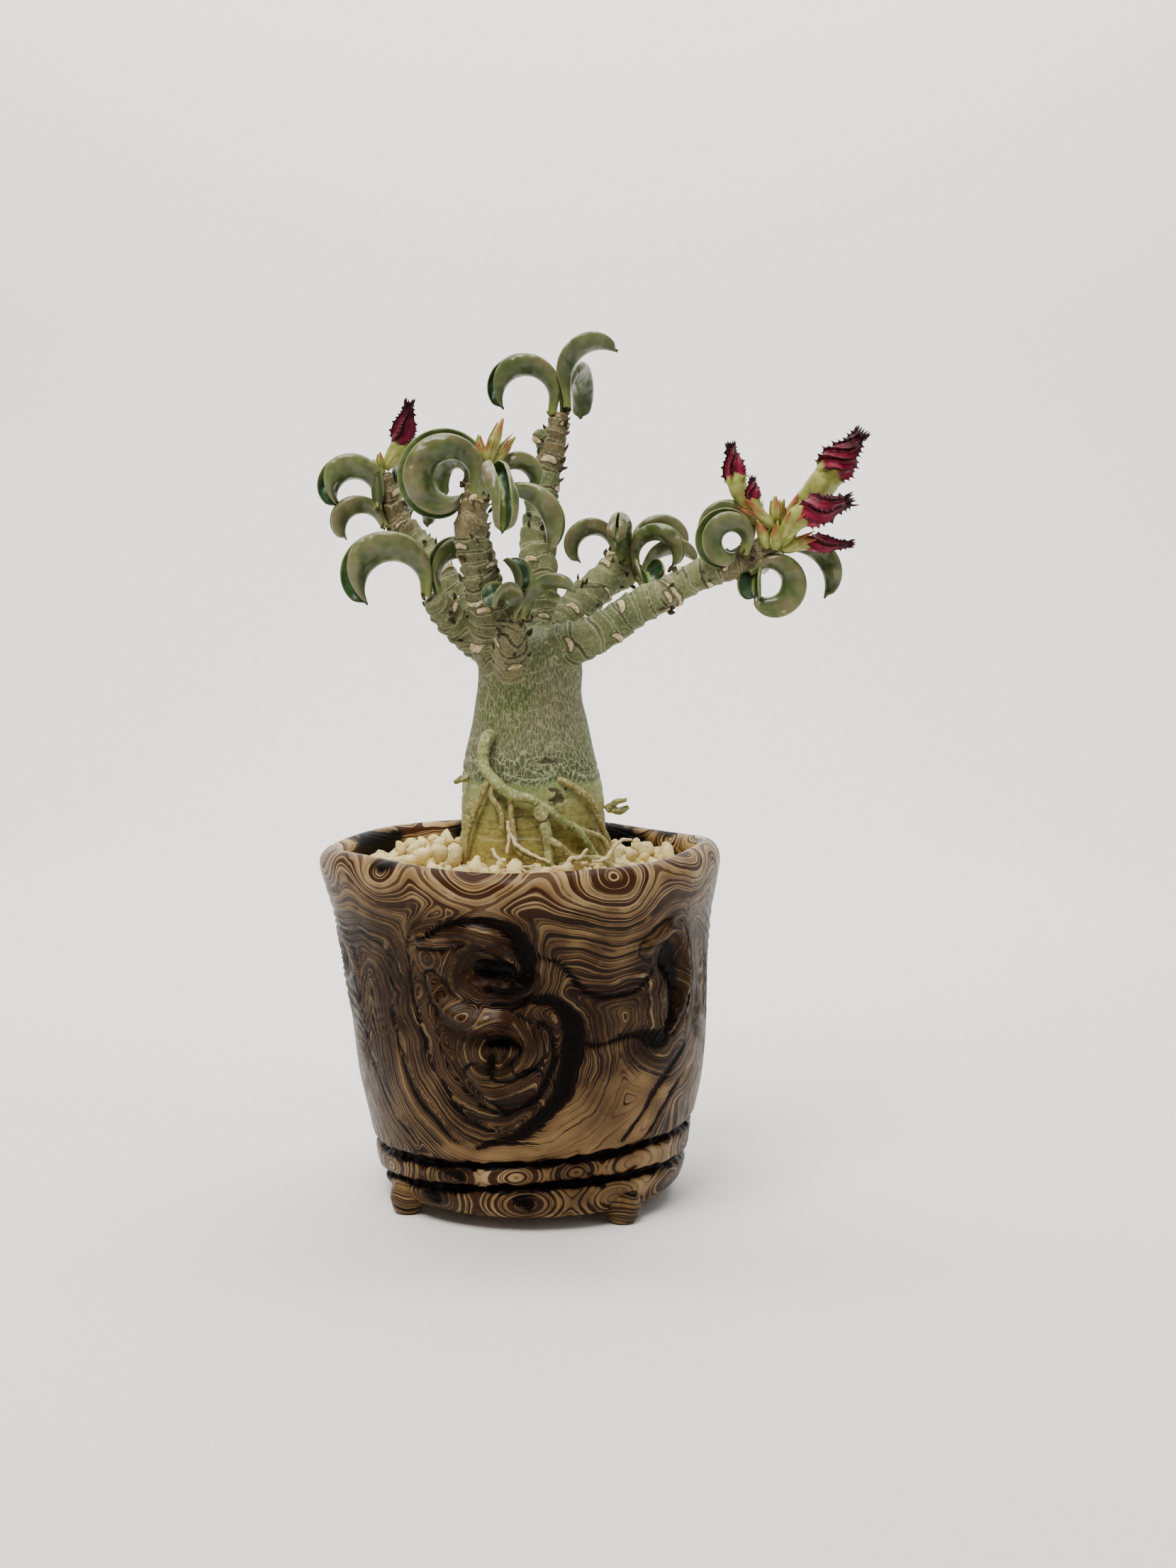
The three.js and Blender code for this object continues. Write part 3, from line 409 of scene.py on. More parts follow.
def onWall(turn, v):
    return np.stack([pot["wallRadius"] * np.cos(turn), pot["wallRadius"] * np.sin(turn), v], -1)


def strata(turn, v):  # the level of the clay's layers away from any eye
    swing = 24 * (1 - np.cos(2 * (turn + math.radians(66))))
    return 0.62 * (95 - v) + ramp(91 - v, 8, 34) * swing


def grainLevel(turn, v):
    place = onWall(turn, v)
    warpAcross = 2.6 * lumps(place, 17, 1) + 0.8 * lumps(place, 7, 2) + 0.25 * lumps(place, 3.1, 3)
    z = v + 2.4 * lumps(place, 15, 4) + 0.8 * lumps(place, 7, 5) + 0.25 * lumps(place, 2.7, 6)

    def gap(degrees):
        return turnGap(turn, degrees) * pot["wallRadius"] + warpAcross

    levels = [strata(turn + warpAcross / pot["wallRadius"], z)]
    for eye in grainEyes:
        away = smoothMin([np.hypot(gap(t) / eye["across"], z - h) for t, h in eye["hearts"]], 1.5)
        levels.append(eye["level"] + eye["gain"] * (away - eye["reach"]))
    for degrees, height, reach in lipEyes:
        away = np.hypot(gap(degrees) / 1.35, z - height)
        here = strata(np.array(math.radians(degrees)), np.array(float(height)))
        levels.append(here + 0.62 * (away - reach) + 0.1 * np.maximum(0, away - 2 * reach) ** 2)
    wall = smoothMin(levels, 0.9)
    middle = (upperGroove(turn) + lowerGroove(turn)) / 2
    band = smoothMin([np.hypot(gap(degrees) / 1.8, v - middle) for degrees in bandEyes], 0.7)
    base = smoothMin([np.hypot(gap(degrees) / 1.9, v - 7.4) for degrees in baseEyes], 0.7)
    wall = wall - pot["spreadOut"] * np.clip(wall - 12, 0, None)  # wider apart away from the knots
    return np.where(v < lowerGroove(turn), base + 20, np.where(v < upperGroove(turn), band + 40, wall))


def besideStroke(turn, v, stroke):
    # mm inside the edge of a band along a path, less than 0 outside, and the grain level that it drags along
    path, _ = smoothPath([(math.radians(t) * pot["wallRadius"], z, 0, w) for t, z, w in stroke], 2.4)
    levels = grainLevel(path[:, 0] / pot["wallRadius"], path[:, 1])
    levels = levels - pot["drag"] * (pot["dragReach"] + pot["dragWiden"] * path[:, 3])
    inside, dragged = np.full(turn.shape, -9.0), np.full(turn.shape, 999.0)
    for start, end, low, high in zip(path, path[1:], levels, levels[1:]):
        x = turnGap(turn, math.degrees(start[0] / pot["wallRadius"])) * pot["wallRadius"]
        run, rise = end[0] - start[0], end[1] - start[1]
        share = np.clip((x * run + (v - start[1]) * rise) / (run * run + rise * rise), 0, 1)
        away = np.hypot(x - share * run, v - start[1] - share * rise)
        inside = np.maximum(inside, mix(start[3], end[3], share) / 2 - away)
        dragged = np.minimum(dragged, mix(low, high, share) + pot["drag"] * away)
    return inside, dragged


def patches(turn, v, places):
    amount = np.zeros(turn.shape)
    for degrees, height, across, up, *strength in places:
        away = np.hypot(turnGap(turn, degrees) * pot["wallRadius"] / across, (v - height) / up)
        amount = np.maximum(amount, (strength[0] if strength else 1) * np.exp(-away**4 * 0.5))
    return amount


def potGrid():
    # turn, radius, height, height for the pattern (it runs on over the lip) and whether it is the outer face
    wall, _ = smoothPath([(r, z, 0, 0) for r, z in outerProfile], pot["wallStep"])
    inside, _ = smoothPath([(r, z, 0, 0) for r, z in innerProfile], pot["insideStep"])
    profile = np.vstack([wall[:, :2], inside[1:-1, :2]])
    along = np.concatenate([[0], np.cumsum(np.linalg.norm(np.diff(profile, axis=0), axis=1))])
    top = int(np.argmax(profile[:, 1]))
    outer = np.arange(len(profile)) <= top
    pattern = np.where(outer, profile[:, 1], pot["rimHeight"] + along - along[top])
    columns = (profile[:, 0], profile[:, 1], pattern, outer & (profile[:, 1] > 4.5))
    grids = [np.repeat(column[:, None], pot["columns"], 1) for column in columns]
    turn = np.broadcast_to(np.arange(pot["columns"]) / pot["columns"] * 2 * math.pi, grids[0].shape)
    return [turn] + grids


def dragGrain(turn, v, grain):
    # mm inside the nearest band, and the grain with the lines that the wide bands drag along
    ink, flowing = np.full(v.shape, -9.0), [grain]
    for stroke in inkStrokes + softStrokes:
        inside, dragged = besideStroke(turn, v, stroke)
        ink = np.maximum(ink, inside - pot["softInset"] * (stroke in softStrokes))
        if max(width for *_, width in stroke) > pot["dragsFrom"]:
            flowing.append(dragged)
    return ink, smoothMin(flowing, 0.8)


def carve(turn, v, place):
    # how far knots and rolls stand proud, and how hollow it is, less than 0 along the crest of a roll; the
    # crevice beside each roll is added to the hollow as painted shade
    relief = np.zeros(v.shape)
    for degrees, height, across, up, depth in knots:
        x = turnGap(turn, degrees) * pot["wallRadius"]
        relief += depth * np.exp(-(x / across) ** 2 - ((v - height) / up) ** 2)
    hollow = np.clip(-relief / 2.4, 0, 1)
    for height, roll in rolls:
        width = max(w for *_, w in roll) / 2
        inside, _ = besideStroke(turn, v, roll)
        relief += height * ramp(inside, -0.9, width)
        # painted shade: a dark crevice line along the outer edge of each roll
        crevice = np.exp(-((inside + 1.0) / 0.5) ** 2) * ramp(lumps(place, 7, 38), -0.6, 0.1)
        relief -= 0.5 * crevice
        hollow = np.maximum(hollow, 0.75 * crevice) - 0.8 * ramp(inside, 0.2, width)
    return relief, hollow


def raggedGrooves(turn, z, place):  # 1 in the middle of a groove, 0 away from both
    gap = np.minimum(np.abs(z - upperGroove(turn)), np.abs(z - lowerGroove(turn)))
    gap = gap + 0.5 * lumps(place, 3.2, 33) + 0.3 * lumps(place, 1.5, 34)
    return np.exp(-(np.maximum(gap, 0) / pot["grooveWidth"]) ** 2)


def makePot(material):
    turn, radius, z, v, onOuter = potGrid()
    place = onWall(turn, v)
    strayTurn = turn + (0.8 * lumps(place, 6, 11) + 0.3 * lumps(place, 2.2, 12)) / pot["wallRadius"]
    strayZ = v + 0.8 * lumps(place, 6, 13) + 0.3 * lumps(place, 2.2, 14)
    onBody = v > upperGroove(turn)
    grain = grainLevel(turn, v)
    ink, dragged = dragGrain(strayTurn, strayZ, grain)
    grain = np.where(onBody, dragged, grain)
    dark = patches(strayTurn, strayZ, smoke) + 0.2 * lumps(place, 9, 21) + 0.12 * lumps(place, 3, 22)
    lipDark = patches(strayTurn, strayZ, lipEyesDark)
    relief, hollow = carve(strayTurn, strayZ, place)
    groove = raggedGrooves(turn, z, place)
    relief -= pot["grooveDepth"] * groove * (1 + 0.35 * lumps(place, 2.6, 37))
    relief -= pot["inkDepth"] * ramp(ink, -0.5, 0.6)
    relief += pot["grainRelief"] * np.sin(grain * math.pi * 1.1) * ramp(dark, 0.3, 0.8)
    relief *= ramp(z, 3.4, 5) * ramp(-z, -84, -78)
    relief = np.where(onOuter, relief, 0)
    uneven = 0.28 * lumps(place, 15, 35) * ramp(z, 4, 12)
    # towards the rim the wall waves in and out, and up and down
    share = ramp(z, 40, 91)
    reach = radius + share * (0.9 * np.sin(4 * turn) + 0.7 * np.sin(3 * turn)) + relief + uneven
    rise = ramp(z, 76, 91) * (0.7 * np.cos(3 * turn + 1.1) + 0.4 * np.cos(5 * turn))
    rings = np.stack([potCentre(z) + reach * np.cos(turn), reach * np.sin(turn), z + rise], -1)
    paleBand = 0.9 * ramp(lumps(place, 13, 39), -0.35, 0.35) * ~onBody * onOuter
    grooved = (groove - 0.36) * 3 * onOuter - 4 * (1 - onOuter)
    shape = Shape("grain", "ink", "smoky", "calm", "hollow", "lip")
    shape.loft(
        rings, looped=True, grain=grain, ink=np.maximum(np.where(onOuter, ink, -6), grooved),
        smoky=np.clip(dark, 0, 1.2) * ramp(-v, -88, -78), calm=patches(strayTurn, strayZ, calmPlaces),
        hollow=hollow * onOuter + lipDark, lip=ramp(v, 78, 85) + paleBand)
    for degrees in footTurns.values():
        addFoot(shape, math.radians(degrees))
    return shape.make("pot_stoneware", material, ["pot"])


def addFoot(shape, turn):
    out = np.array([math.cos(turn), math.sin(turn), 0])
    sole, waist, top = pot["footSole"], pot["footWaist"], pot["footTop"]
    # how far in from the feet's circle, height and radius
    profile = [(0, 0, sole - 0.5), (0, 0.02, sole), (0, 1.2, waist), (0.37, 4, top - 0.6), (1.6, 6.2, top),
               (2.6, pot["footHeight"] - 0.2, top + 0.2)]
    stops = np.array([(*(out * (footCircle - inward) + [0, 0, z]), r) for inward, z, r in profile])
    share = np.linspace(0, 1, 22)
    fine = np.stack([np.interp(share, np.linspace(0, 1, len(stops)), column) for column in stops.T], -1)
    around = np.arange(40) / 40 * 2 * math.pi
    rings = fine[:, None, :3] + fine[:, None, 3:] * np.stack([np.cos(around), np.sin(around), 0 * around], -1)
    grain = 30 + 0.9 * rings[..., 2] + 3.5 * lumps(rings, 6, 36)
    shape.loft(rings, grain=grain, ink=-6, smoky=0.3, calm=0, hollow=0, lip=0)


# How the lines of clay run: how many a unit of grain, how much they wander, how far apart their strong and
# weak stretches are, and the share of darkness from which a line shows.
clayLines = dict(
    bold=dict(perUnit=0.72, wander=3.4, weightScale=0.9, faintest=0.24, patchSize=12, shows=0.42),
    fine=dict(perUnit=1.75, wander=6.5, weightScale=2.1, faintest=0.25, patchSize=5, shows=0.48),
)


def addClayLines(node, place, grain, drift, crowd, look):
    # lines sharp on one side and soft on the other, that swell and thin out
    level = node("Math", {"operation": "MULTIPLY", 0: grain, 1: look["perUnit"]})
    level = node("Math", {"operation": "MULTIPLY_ADD", 0: drift, 1: look["wander"], 2: level})
    amount = node("Math", {"operation": "FRACT", 0: level})
    profile = [(0.0, 0.0), (0.12, 0.1), (0.88, 1.0), (0.97, 1.0), (1.0, 0.0)]
    amount = node("ValToRGB", {"stops": profile, "Fac": amount})
    weight = node("TexNoise", {
        "noise_dimensions": "1D", "W": grain, "Scale": look["weightScale"], "Detail": 1.0})
    weight = node("MapRange", {
        "Value": weight, "From Min": 0.32, "From Max": 0.66, "To Min": look["faintest"]})
    patch = node("TexNoise", {"Vector": place, "Scale": 1000 / look["patchSize"], "Detail": 3.0})
    patch = node("MapRange", {"Value": patch, "From Min": 0.36, "From Max": 0.6, "To Min": 0.6})
    for share in (weight, patch, crowd):
        amount = node("Math", {"operation": "MULTIPLY", 0: amount, 1: share})
    shown = node("MapRange", {"Value": amount, "From Min": look["shows"], "From Max": look["shows"] + 0.09})
    return amount, shown


# Marbled stoneware, hand-built, carved and dipped in a clear satin glaze: black and brown clays folded into
# a tan one give lines that swell and thin out, black in the hollows with painted shade in the crevices beside
# the rolls, smoky round the knots, pale slip lines with painted glaze highlights, rubbed paler where the clay
# stands proud, under a sheen that breaks up where it is rough.
def marbledStoneware():
    material, node, place, grain, ink, smoky, calm, hollow, lip = startMaterial(
        "marbled_stoneware_satin_glaze", "grain", "ink", "smoky", "calm", "hollow", "lip")
    cloud = node("TexNoise", {"Vector": place, "Scale": 1000 / 7, "Detail": 5.0})
    stain = node("TexNoise", {"Vector": place, "Scale": 1000 / 3.5, "Detail": 7.0, "Roughness": 0.66})
    ragged = node("TexNoise", {"Vector": place, "Scale": 1000 / 1.7, "Detail": 4.0})
    # the ground: tan clay, paler on the lip, clouded and stained
    colour, onLip, smoke = (
        node("ValToRGB", {"stops": stops, "Fac": cloud}) for stops in (
            [(0.34, "#6d5537"), (0.64, "#a48559")],
            [(0.34, "#a28358"), (0.64, "#cbae80")],
            [(0.36, "#291f17"), (0.62, "#5c4835")]))
    colour = paint(node, colour, [(lip, onLip), ((stain, 0.5, 0.68, 0.3), "#54402a")])
    colour = node("Mix", {"data_type": "RGBA", "blend_type": "MULTIPLY", 0: smoky, 6: colour, 7: smoke}, 2)
    # lines crowd round the knots and along the black bands, and thin out in the calm places
    quiet = node("MapRange", {
        "Value": calm, "From Min": 0.2, "From Max": 0.75, "To Min": 1.0, "To Max": 0.41})
    near = node("MapRange", {"Value": ink, "From Min": -5.5, "From Max": -0.8, "To Max": 0.6})
    crowd = node("Math", {"operation": "MULTIPLY_ADD", 0: smoky, 1: 0.45, 2: 0.92})
    crowd = node("Math", {"operation": "ADD", 0: crowd, 1: near})
    crowd = node("Math", {"operation": "MULTIPLY", 0: crowd, 1: quiet})
    drift = node("TexNoise", {"noise_dimensions": "1D", "W": grain, "Scale": 0.4, "Detail": 0.0})
    bold, boldShown = addClayLines(node, place, grain, drift, crowd, clayLines["bold"])
    fine, fineShown = addClayLines(node, place, grain, drift, crowd, clayLines["fine"])
    fineShown = node("Math", {"operation": "MULTIPLY", 0: fineShown, 1: 0.75})
    line = node("Mix", {"data_type": "RGBA", 0: lip, 6: "#120a07", 7: "#3b2210"}, 2)
    # pale slip caught between the layers of the carved parts, partly a painted glaze highlight along the
    # lines
    slipAndGlint = node("Math", {"operation": "MULTIPLY", 0: grain, 1: 0.95})
    slipAndGlint = node("Math", {"operation": "MULTIPLY_ADD", 0: drift, 1: 8.0, 2: slipAndGlint})
    slipAndGlint = node("Math", {"operation": "PINGPONG", 0: slipAndGlint, 1: 0.5})
    slipAndGlint = node("MapRange", {"Value": slipAndGlint, "From Min": 0.02, "From Max": 0.08, "To Min": 0.9, "To Max": 0.0})
    fewer = node("MapRange", {"Value": cloud, "From Min": 0.44, "From Max": 0.6})
    for share in (smoky, fewer):
        slipAndGlint = node("Math", {"operation": "MULTIPLY", 0: slipAndGlint, 1: share})
    # black bands and hollows, with ragged edges and streaked along the grain; the near black also paints
    # shade in the crevices beside the rolls
    edge = node("Math", {"operation": "MULTIPLY_ADD", 0: ragged, 1: 0.7, 2: ink})
    edge = node("Math", {"operation": "MULTIPLY_ADD", 0: fine, 1: 0.8, 2: edge})
    inked = node("MapRange", {"Value": edge, "From Min": 0.4, "From Max": 0.65})
    rim = node("MapRange", {"Value": ink, "From Min": 1.5, "From Max": 0.6})
    black = paint(node, "#050404", [((fine, 0.3, 0.05, 0.5, rim), "#34190b")])
    # near black in the knots' hollows and the dark eyes of the lip, and painted shade in the crevices beside
    # the rolls
    deep = node("Math", {"operation": "MULTIPLY_ADD", 0: cloud, 1: 0.9, 2: hollow})
    colour = paint(node, colour, [
        ((hollow, -0.15, -0.7, 0.6), "#7a6244"),  # the crests of the rolls, rubbed back to the tan clay
        ((bold, 0.16, 0.5, 0.6), "#4e3019"),
        ((fine, 0.2, 0.55, 0.45), "#4e3019"),
        ((stain, 0.46, 0.32, 0.35), "#a3865a"),  # rubbed, paler clay and scratches
        (fineShown, line),
        (boldShown, line),
        # pale slip lines, partly painted glaze highlight
        (slipAndGlint, "#ab9269"),
        ((ink, -2.6, 0.1, 0.65), "#2a150a"),  # a reddish brown halo round the black
        (inked, black),
        ((deep, 0.72, 1.05, 1.0), "#0a0706"),
    ])
    rough = node("MapRange", {
        "Value": stain, "From Min": 0.35, "From Max": 0.65, "To Min": 0.28, "To Max": 0.5})
    shine = node("MapRange", {"Value": inked, "To Min": 0.1, "To Max": 0.05})
    grit = node("TexNoise", {"Vector": place, "Scale": 1000 / 0.9, "Detail": 4.0})
    normal = node("Bump", {"Distance": 0.00007, "Height": grit})
    normal = node("Bump", {"Distance": 0.00012, "Height": boldShown, "Normal": normal, "invert": True})
    glaze = node("BsdfPrincipled", {
        "Base Color": colour, "Roughness": rough, "IOR": 1.45, "Normal": normal, "Specular IOR Level": shine})
    node("OutputMaterial", {"Surface": glaze}, None)
    return material


makePot(marbledStoneware())
print("pot is made")


# Pumice

pumice = dict(seed=41, levelAtWall=84.6, levelAtTrunk=86.6, wallReach=44.6, trunkReach=17.5, bedColumns=120,
              breaks=9)
# stones in the bed: how many, their radius, how close they lie, how far up and down, and those on top of them
bedStones = dict(
    coarse=dict(count=170, radius=(2.3, 3.5), closeness=0.92, lift=0.6),
    medium=dict(count=260, radius=(1.7, 2.4), closeness=0.86, lift=0.4),
    small=dict(count=330, radius=(0.9, 1.5), closeness=0.7, lift=0.8),
)
topStones = dict(count=70, radius=(1.3, 2.6), reach=(21, 40))
# the bed's own profile: radius and height, from the pot's floor up and in to the trunk
filling = [
    (32.2, 9.3), (37.5, 30), (40.9, 60), (44.9, 81), (44.7, 83.2), (38, 83.6), (28, 84.4), (17, 84.8),
    (8, 84.9),
]


def soilLevel(out):
    return mix(pumice["levelAtTrunk"], pumice["levelAtWall"], ramp(out, 20, 43))


def icosphere(divisions):
    made = bmesh.new()
    bmesh.ops.create_icosphere(made, subdivisions=divisions, radius=1)
    points = np.array([v.co for v in made.verts])
    faces = np.array([[v.index for v in f.verts] for f in made.faces])
    made.free()
    return points, faces


def stonePoints(ball, size, random):
    # a ball cut down by flat breaks, then roughened
    planes = unit(random.normal(size=(pumice["breaks"], 3)))
    depth = random.uniform(0.62, 0.95, pumice["breaks"])
    facing = np.maximum(ball @ planes.T, 1e-3)
    cut = np.minimum(1 / (np.sum((facing / depth) ** 14, axis=1) ** (1 / 14)), 1.12)
    points = ball * cut[:, None] * random.uniform([0.85, 0.75, 0.65], [1.25, 1.05, 0.95])
    points = points + ball * (0.07 * lumps(ball * 10 + random.uniform(0, 900, 3), 3.2, 5))[:, None]
    spin = np.linalg.qr(random.normal(size=(3, 3)))[0]
    return points @ (spin * np.sign(np.linalg.det(spin))) * size


def makePumice(material):
    random = np.random.RandomState(pumice["seed"])
    path, _ = smoothPath([(r, z, 0, 0) for r, z in filling], 1.6)
    turn = np.arange(pumice["bedColumns"]) / pumice["bedColumns"] * 2 * math.pi
    r, z = path[:, :1] + 0 * turn, path[:, 1:2] + 0 * turn
    bed = np.stack([potCentre(z) + r * np.cos(turn), r * np.sin(turn), z], -1)
    bed[..., 2] += 0.6 * lumps(bed, 2.6, 41) * (z > 82.5)
    shape = Shape("tint")
    shape.loft(bed, tint=0.1)
    balls = {2: icosphere(2), 3: icosphere(3)}
    placed = []
    for kind, look in bedStones.items():
        count = look["count"]
        for _ in range(look["count"] * 14):
            if count == 0:
                break
            size = random.uniform(*look["radius"])
            out = math.sqrt(random.uniform(pumice["trunkReach"] ** 2, (pumice["wallReach"] - size) ** 2))
            angle = random.uniform(0, 2 * math.pi)
            spot = np.array([out * math.cos(angle), out * math.sin(angle)])
            if any(math.hypot(*(spot - p)) < look["closeness"] * (size + s) for p, s in placed):
                continue
            count -= 1
            placed.append((spot, size))
            level = soilLevel(out) + look["lift"] * random.uniform(-1, 1) - 0.25 * size
            # two coarse stones out of three, where the camera sees them, get the finer ball
            points, faces = balls[3 if kind == "coarse" and spot[1] < 10 and count % 3 else 2]
            stone = stonePoints(points, size, random)
            shape.add(stone + [potCentre(level) + spot[0], spot[1], level], faces, tint=random.uniform())
    points, faces = balls[2]
    for _ in range(topStones["count"]):
        size = random.uniform(*topStones["radius"])
        out = random.uniform(*topStones["reach"])
        angle = random.uniform(0, 2 * math.pi)
        level = soilLevel(out) + size * 0.75 + 1.0
        stone = stonePoints(points, size, random)
        stone = stone + [potCentre(level) + out * math.cos(angle), out * math.sin(angle), level]
        shape.add(stone, faces, tint=random.uniform())
    print("pumice stones:", len(placed) + topStones["count"])
    return shape.make("pumice_grit", material, ["substrate"])


# Pumice grit, crushed and sieved, dry: chalky cream with pores and a few rust-stained grains, and no shine.
def dryPumice():
    material, node, place, tint = startMaterial("dry_pumice_grit", "tint")
    chalk = node("TexNoise", {"Vector": place, "Scale": 1000 / 3, "Detail": 4.0})
    colour = node("ValToRGB", {"stops": [(0.35, "#f5e6ac"), (0.7, "#dcc583")], "Fac": chalk})
    rust = node("MapRange", {"Value": tint, "From Max": 0.2, "To Min": 0.6, "To Max": 0.0})
    specks = node("TexNoise", {"Vector": place, "Scale": 1000 / 0.9, "Detail": 3.0})
    colour = paint(node, colour, [
        ((tint, 0.6, 1.0, 0.7), "#b3a47e"),
        (rust, "#a88c5c"),
        ((specks, 0.57, 0.7, 0.6), "#8b6f3f"),
    ])
    grit = node("TexNoise", {"Vector": place, "Scale": 1000 / 0.8, "Detail": 5.0, "Roughness": 0.65})
    pores = node("TexVoronoi", {"Vector": place, "Scale": 1000 / 0.7})
    pores = node("MapRange", {"Value": pores, "From Min": 0.12, "From Max": 0.4})
    normal = node("Bump", {"Distance": 0.00022, "Height": grit})
    normal = node("Bump", {"Distance": 0.00008, "Height": pores, "Normal": normal})
    stone = node("BsdfPrincipled", {"Base Color": colour, "Roughness": 0.95, "IOR": 1.5, "Normal": normal})
    node("OutputMaterial", {"Surface": stone}, None)
    return material


makePumice(dryPumice())
print("pumice is made")


# The plant's body: the same limbs as the CAD, joined by a voxel remesh, then wrinkled and scarred

trunk = [
    (0, 0, 76, 19), (0, 0, 86, 19.2), (0.6, 0, 95, 18.6), (0.6, 0, 102, 18.3), (0.3, 0, 111, 17.2),
    (0.2, 0, 119, 15.4), (-0.2, 0, 126, 13.8), (-0.2, 0, 131, 13.2), (0, 0, 136, 13.2), (0, 0.5, 140.5, 12),
    (0, 1, 144, 8.5), (0, 1, 146, 4),
]
limbs = {
    "farLeft": [(-4, 3, 135, 6.5), (-9, 10, 142, 5.6), (-17, 18, 151, 5.0), (-21, 20, 155, 4.7),
                (-27, 22, 163, 4.3), (-32, 24, 169, 3.9), (-35.5, 25, 173, 3.5), (-37.5, 24, 180.5, 2.5),
                (-38.8, 23, 185.5, 2.0)],
    "lowLeft": [(-4, -1, 134, 6), (-10.5, -2, 141, 5.1), (-17, -8, 146.5, 4.3), (-20.5, -11, 150, 3.9),
                (-23.5, -14, 154, 3.1)],
    "centre": [(-5, -4, 132, 6.5), (-8.5, -8, 141, 5.5), (-10.5, -14, 153, 4.8), (-12.3, -17, 162.5, 4.6),
               (-13.7, -19, 170, 4.3), (-13.4, -19, 175, 3.8), (-12.5, -19, 180, 3.3),
               (-11, -19, 184.5, 2.4)],
    "tall": [(2, 3, 135, 7), (2.9, 8, 142, 6), (2, 11, 149.5, 5.4), (1.7, 14, 161, 4.9),
             (1.8, 16, 170, 4.6), (2.8, 18, 180, 4.1), (5.2, 20, 190, 3.4), (7.4, 22, 201, 2.5)],
    "tallStub": [(4.6, 19.5, 187, 2.2), (3.3, 20, 192.5, 2.1), (1.3, 19, 196.5, 1.8)],
    "frontStub": [(-3, -7, 133, 5.5), (-4.2, -14, 139.5, 4.5), (-4.1, -17, 143, 4.0), (-4.2, -19, 147, 3.6),
                  (-4.2, -20, 150, 3.0)],
    "rightBack": [(2, 4, 137, 6), (9, 11, 147, 5.1), (14.5, 15, 153.5, 4.7), (19.5, 18, 158, 4.5),
                  (22.5, 20, 161, 4.3), (24.3, 21, 164, 3.4)],
    "rightBackKnob": [(21.5, 19.5, 158.5, 3.8), (24.5, 19, 159, 3.4), (26.5, 18, 160.2, 2.2)],
    "longRight": [(1, -3, 137, 7), (9, -7, 141.5, 5.8), (17.5, -9, 145, 5.0), (25.5, -11, 150.5, 4.5),
                  (34, -12, 155, 4.2), (42.5, -13, 159.5, 4.0), (49.5, -14, 162, 3.6),
                  (55, -14, 164.5, 3.1), (60, -14.5, 168, 2.4)],
}
# greener and greyer places on the trunk's front: x, height, size across and up, amount
mossyPlaces = [
    (-2.7, 132, 4.5, 9, 0.3), (-9, 125, 5, 8, 0.15), (4, 141, 6, 5, 0.25), (12, 116, 5, 6, 0.2),
    (7, 126, 7, 10, -0.3), (-12, 118, 4, 6, -0.2),
]
# mm between the rings of a limb, how dry it is, and where on it the dry tip starts
ringSpacing = dict(frontStub=2.0, centre=3.2, lowLeft=3.0, others=3.8)
dryLimbs = dict(centre=0.42, frontStub=0.6, farLeft=0.15, lowLeft=0.3, others=0.1)
dryFrom = dict(farLeft=46, tall=52, longRight=50, centre=38)
bark = dict(
    voxel=0.5, roundings=9, rounding=0.5, trunkLead=1.2, blendings=14, blending=0.6,
    ringHeight=0.95, scarSpacing=3.3, scarAcross=2.3, scarAlong=0.9,
)
# creases that run round the trunk: height, depth and width
levelCreases = [
    (110.3, 0.32, 0.4), (99.3, 0.42, 0.4), (113.4, 0.25, 0.35), (104.2, 0.36, 0.35), (94.5, 0.3, 0.4),
    (107, 0.25, 0.35),
]
# an old diamond-shaped scar on the front with a dark heart, and a blotch under it
diamondScar = dict(x=4.3, z=113.4, halfWidth=4.4, halfHeight=1.5)
darkBlotch = dict(x=7.3, z=104.6, radius=2.5)


def remeshed(shape, voxel):
    mesh = bpy.data.meshes.new("limbs")
    mesh.from_pydata(np.vstack(shape.points).tolist(), [], shape.faces)
    whole = bpy.data.objects.new("limbs", mesh)
    bpy.context.scene.collection.objects.link(whole)
    modifier = whole.modifiers.new("remesh", "REMESH")
    modifier.mode = "VOXEL"
    modifier.voxel_size = voxel
    bpy.context.view_layer.update()
    made = bpy.data.meshes.new_from_object(whole.evaluated_get(bpy.context.evaluated_depsgraph_get()))
    bpy.data.objects.remove(whole)
    return made


def meshPoints(mesh, kind="co"):
    values = np.zeros(len(mesh.vertices) * 3, np.float32)
    mesh.vertices.foreach_get(kind, values)
    return values.reshape(-1, 3).astype(float)


def relaxed(mesh, rows, rounds, amount):  # moves each vertex's values towards the mean of its neighbours'
    edges = np.zeros(len(mesh.edges) * 2, np.int32)
    mesh.edges.foreach_get("vertices", edges)
    a, b = edges.reshape(-1, 2).T
    size = len(rows)
    count = np.bincount(a, minlength=size) + np.bincount(b, minlength=size)
    for _ in range(rounds):
        total = np.stack([np.bincount(a, c[b], size) + np.bincount(b, c[a], size) for c in rows.T], -1)
        rows = mix(rows, total / count[:, None], amount)
    return rows


def nearestOnLimb(points, stops):
    # mm from a limb's surface, mm along it, the turn round it and its radius, and its length
    path, along = smoothPath(stops, 0.6)
    centres, radii = path[:, :3], path[:, 3]
    best = np.full(len(points), 1e9)
    index = np.zeros(len(points), int)
    for i, centre in enumerate(centres):
        away = np.linalg.norm(points - centre, axis=1)
        nearer = away < best
        best[nearer] = away[nearer]
        index[nearer] = i
    tangents, normals, across = pathFrames(centres)
    offset = points - centres[index]
    turn = np.arctan2(np.sum(offset * across[index], 1), np.sum(offset * normals[index], 1))
    reach = along[index] + np.sum(offset * tangents[index], 1)
    return best - radii[index], reach, turn, radii[index], along[-1]


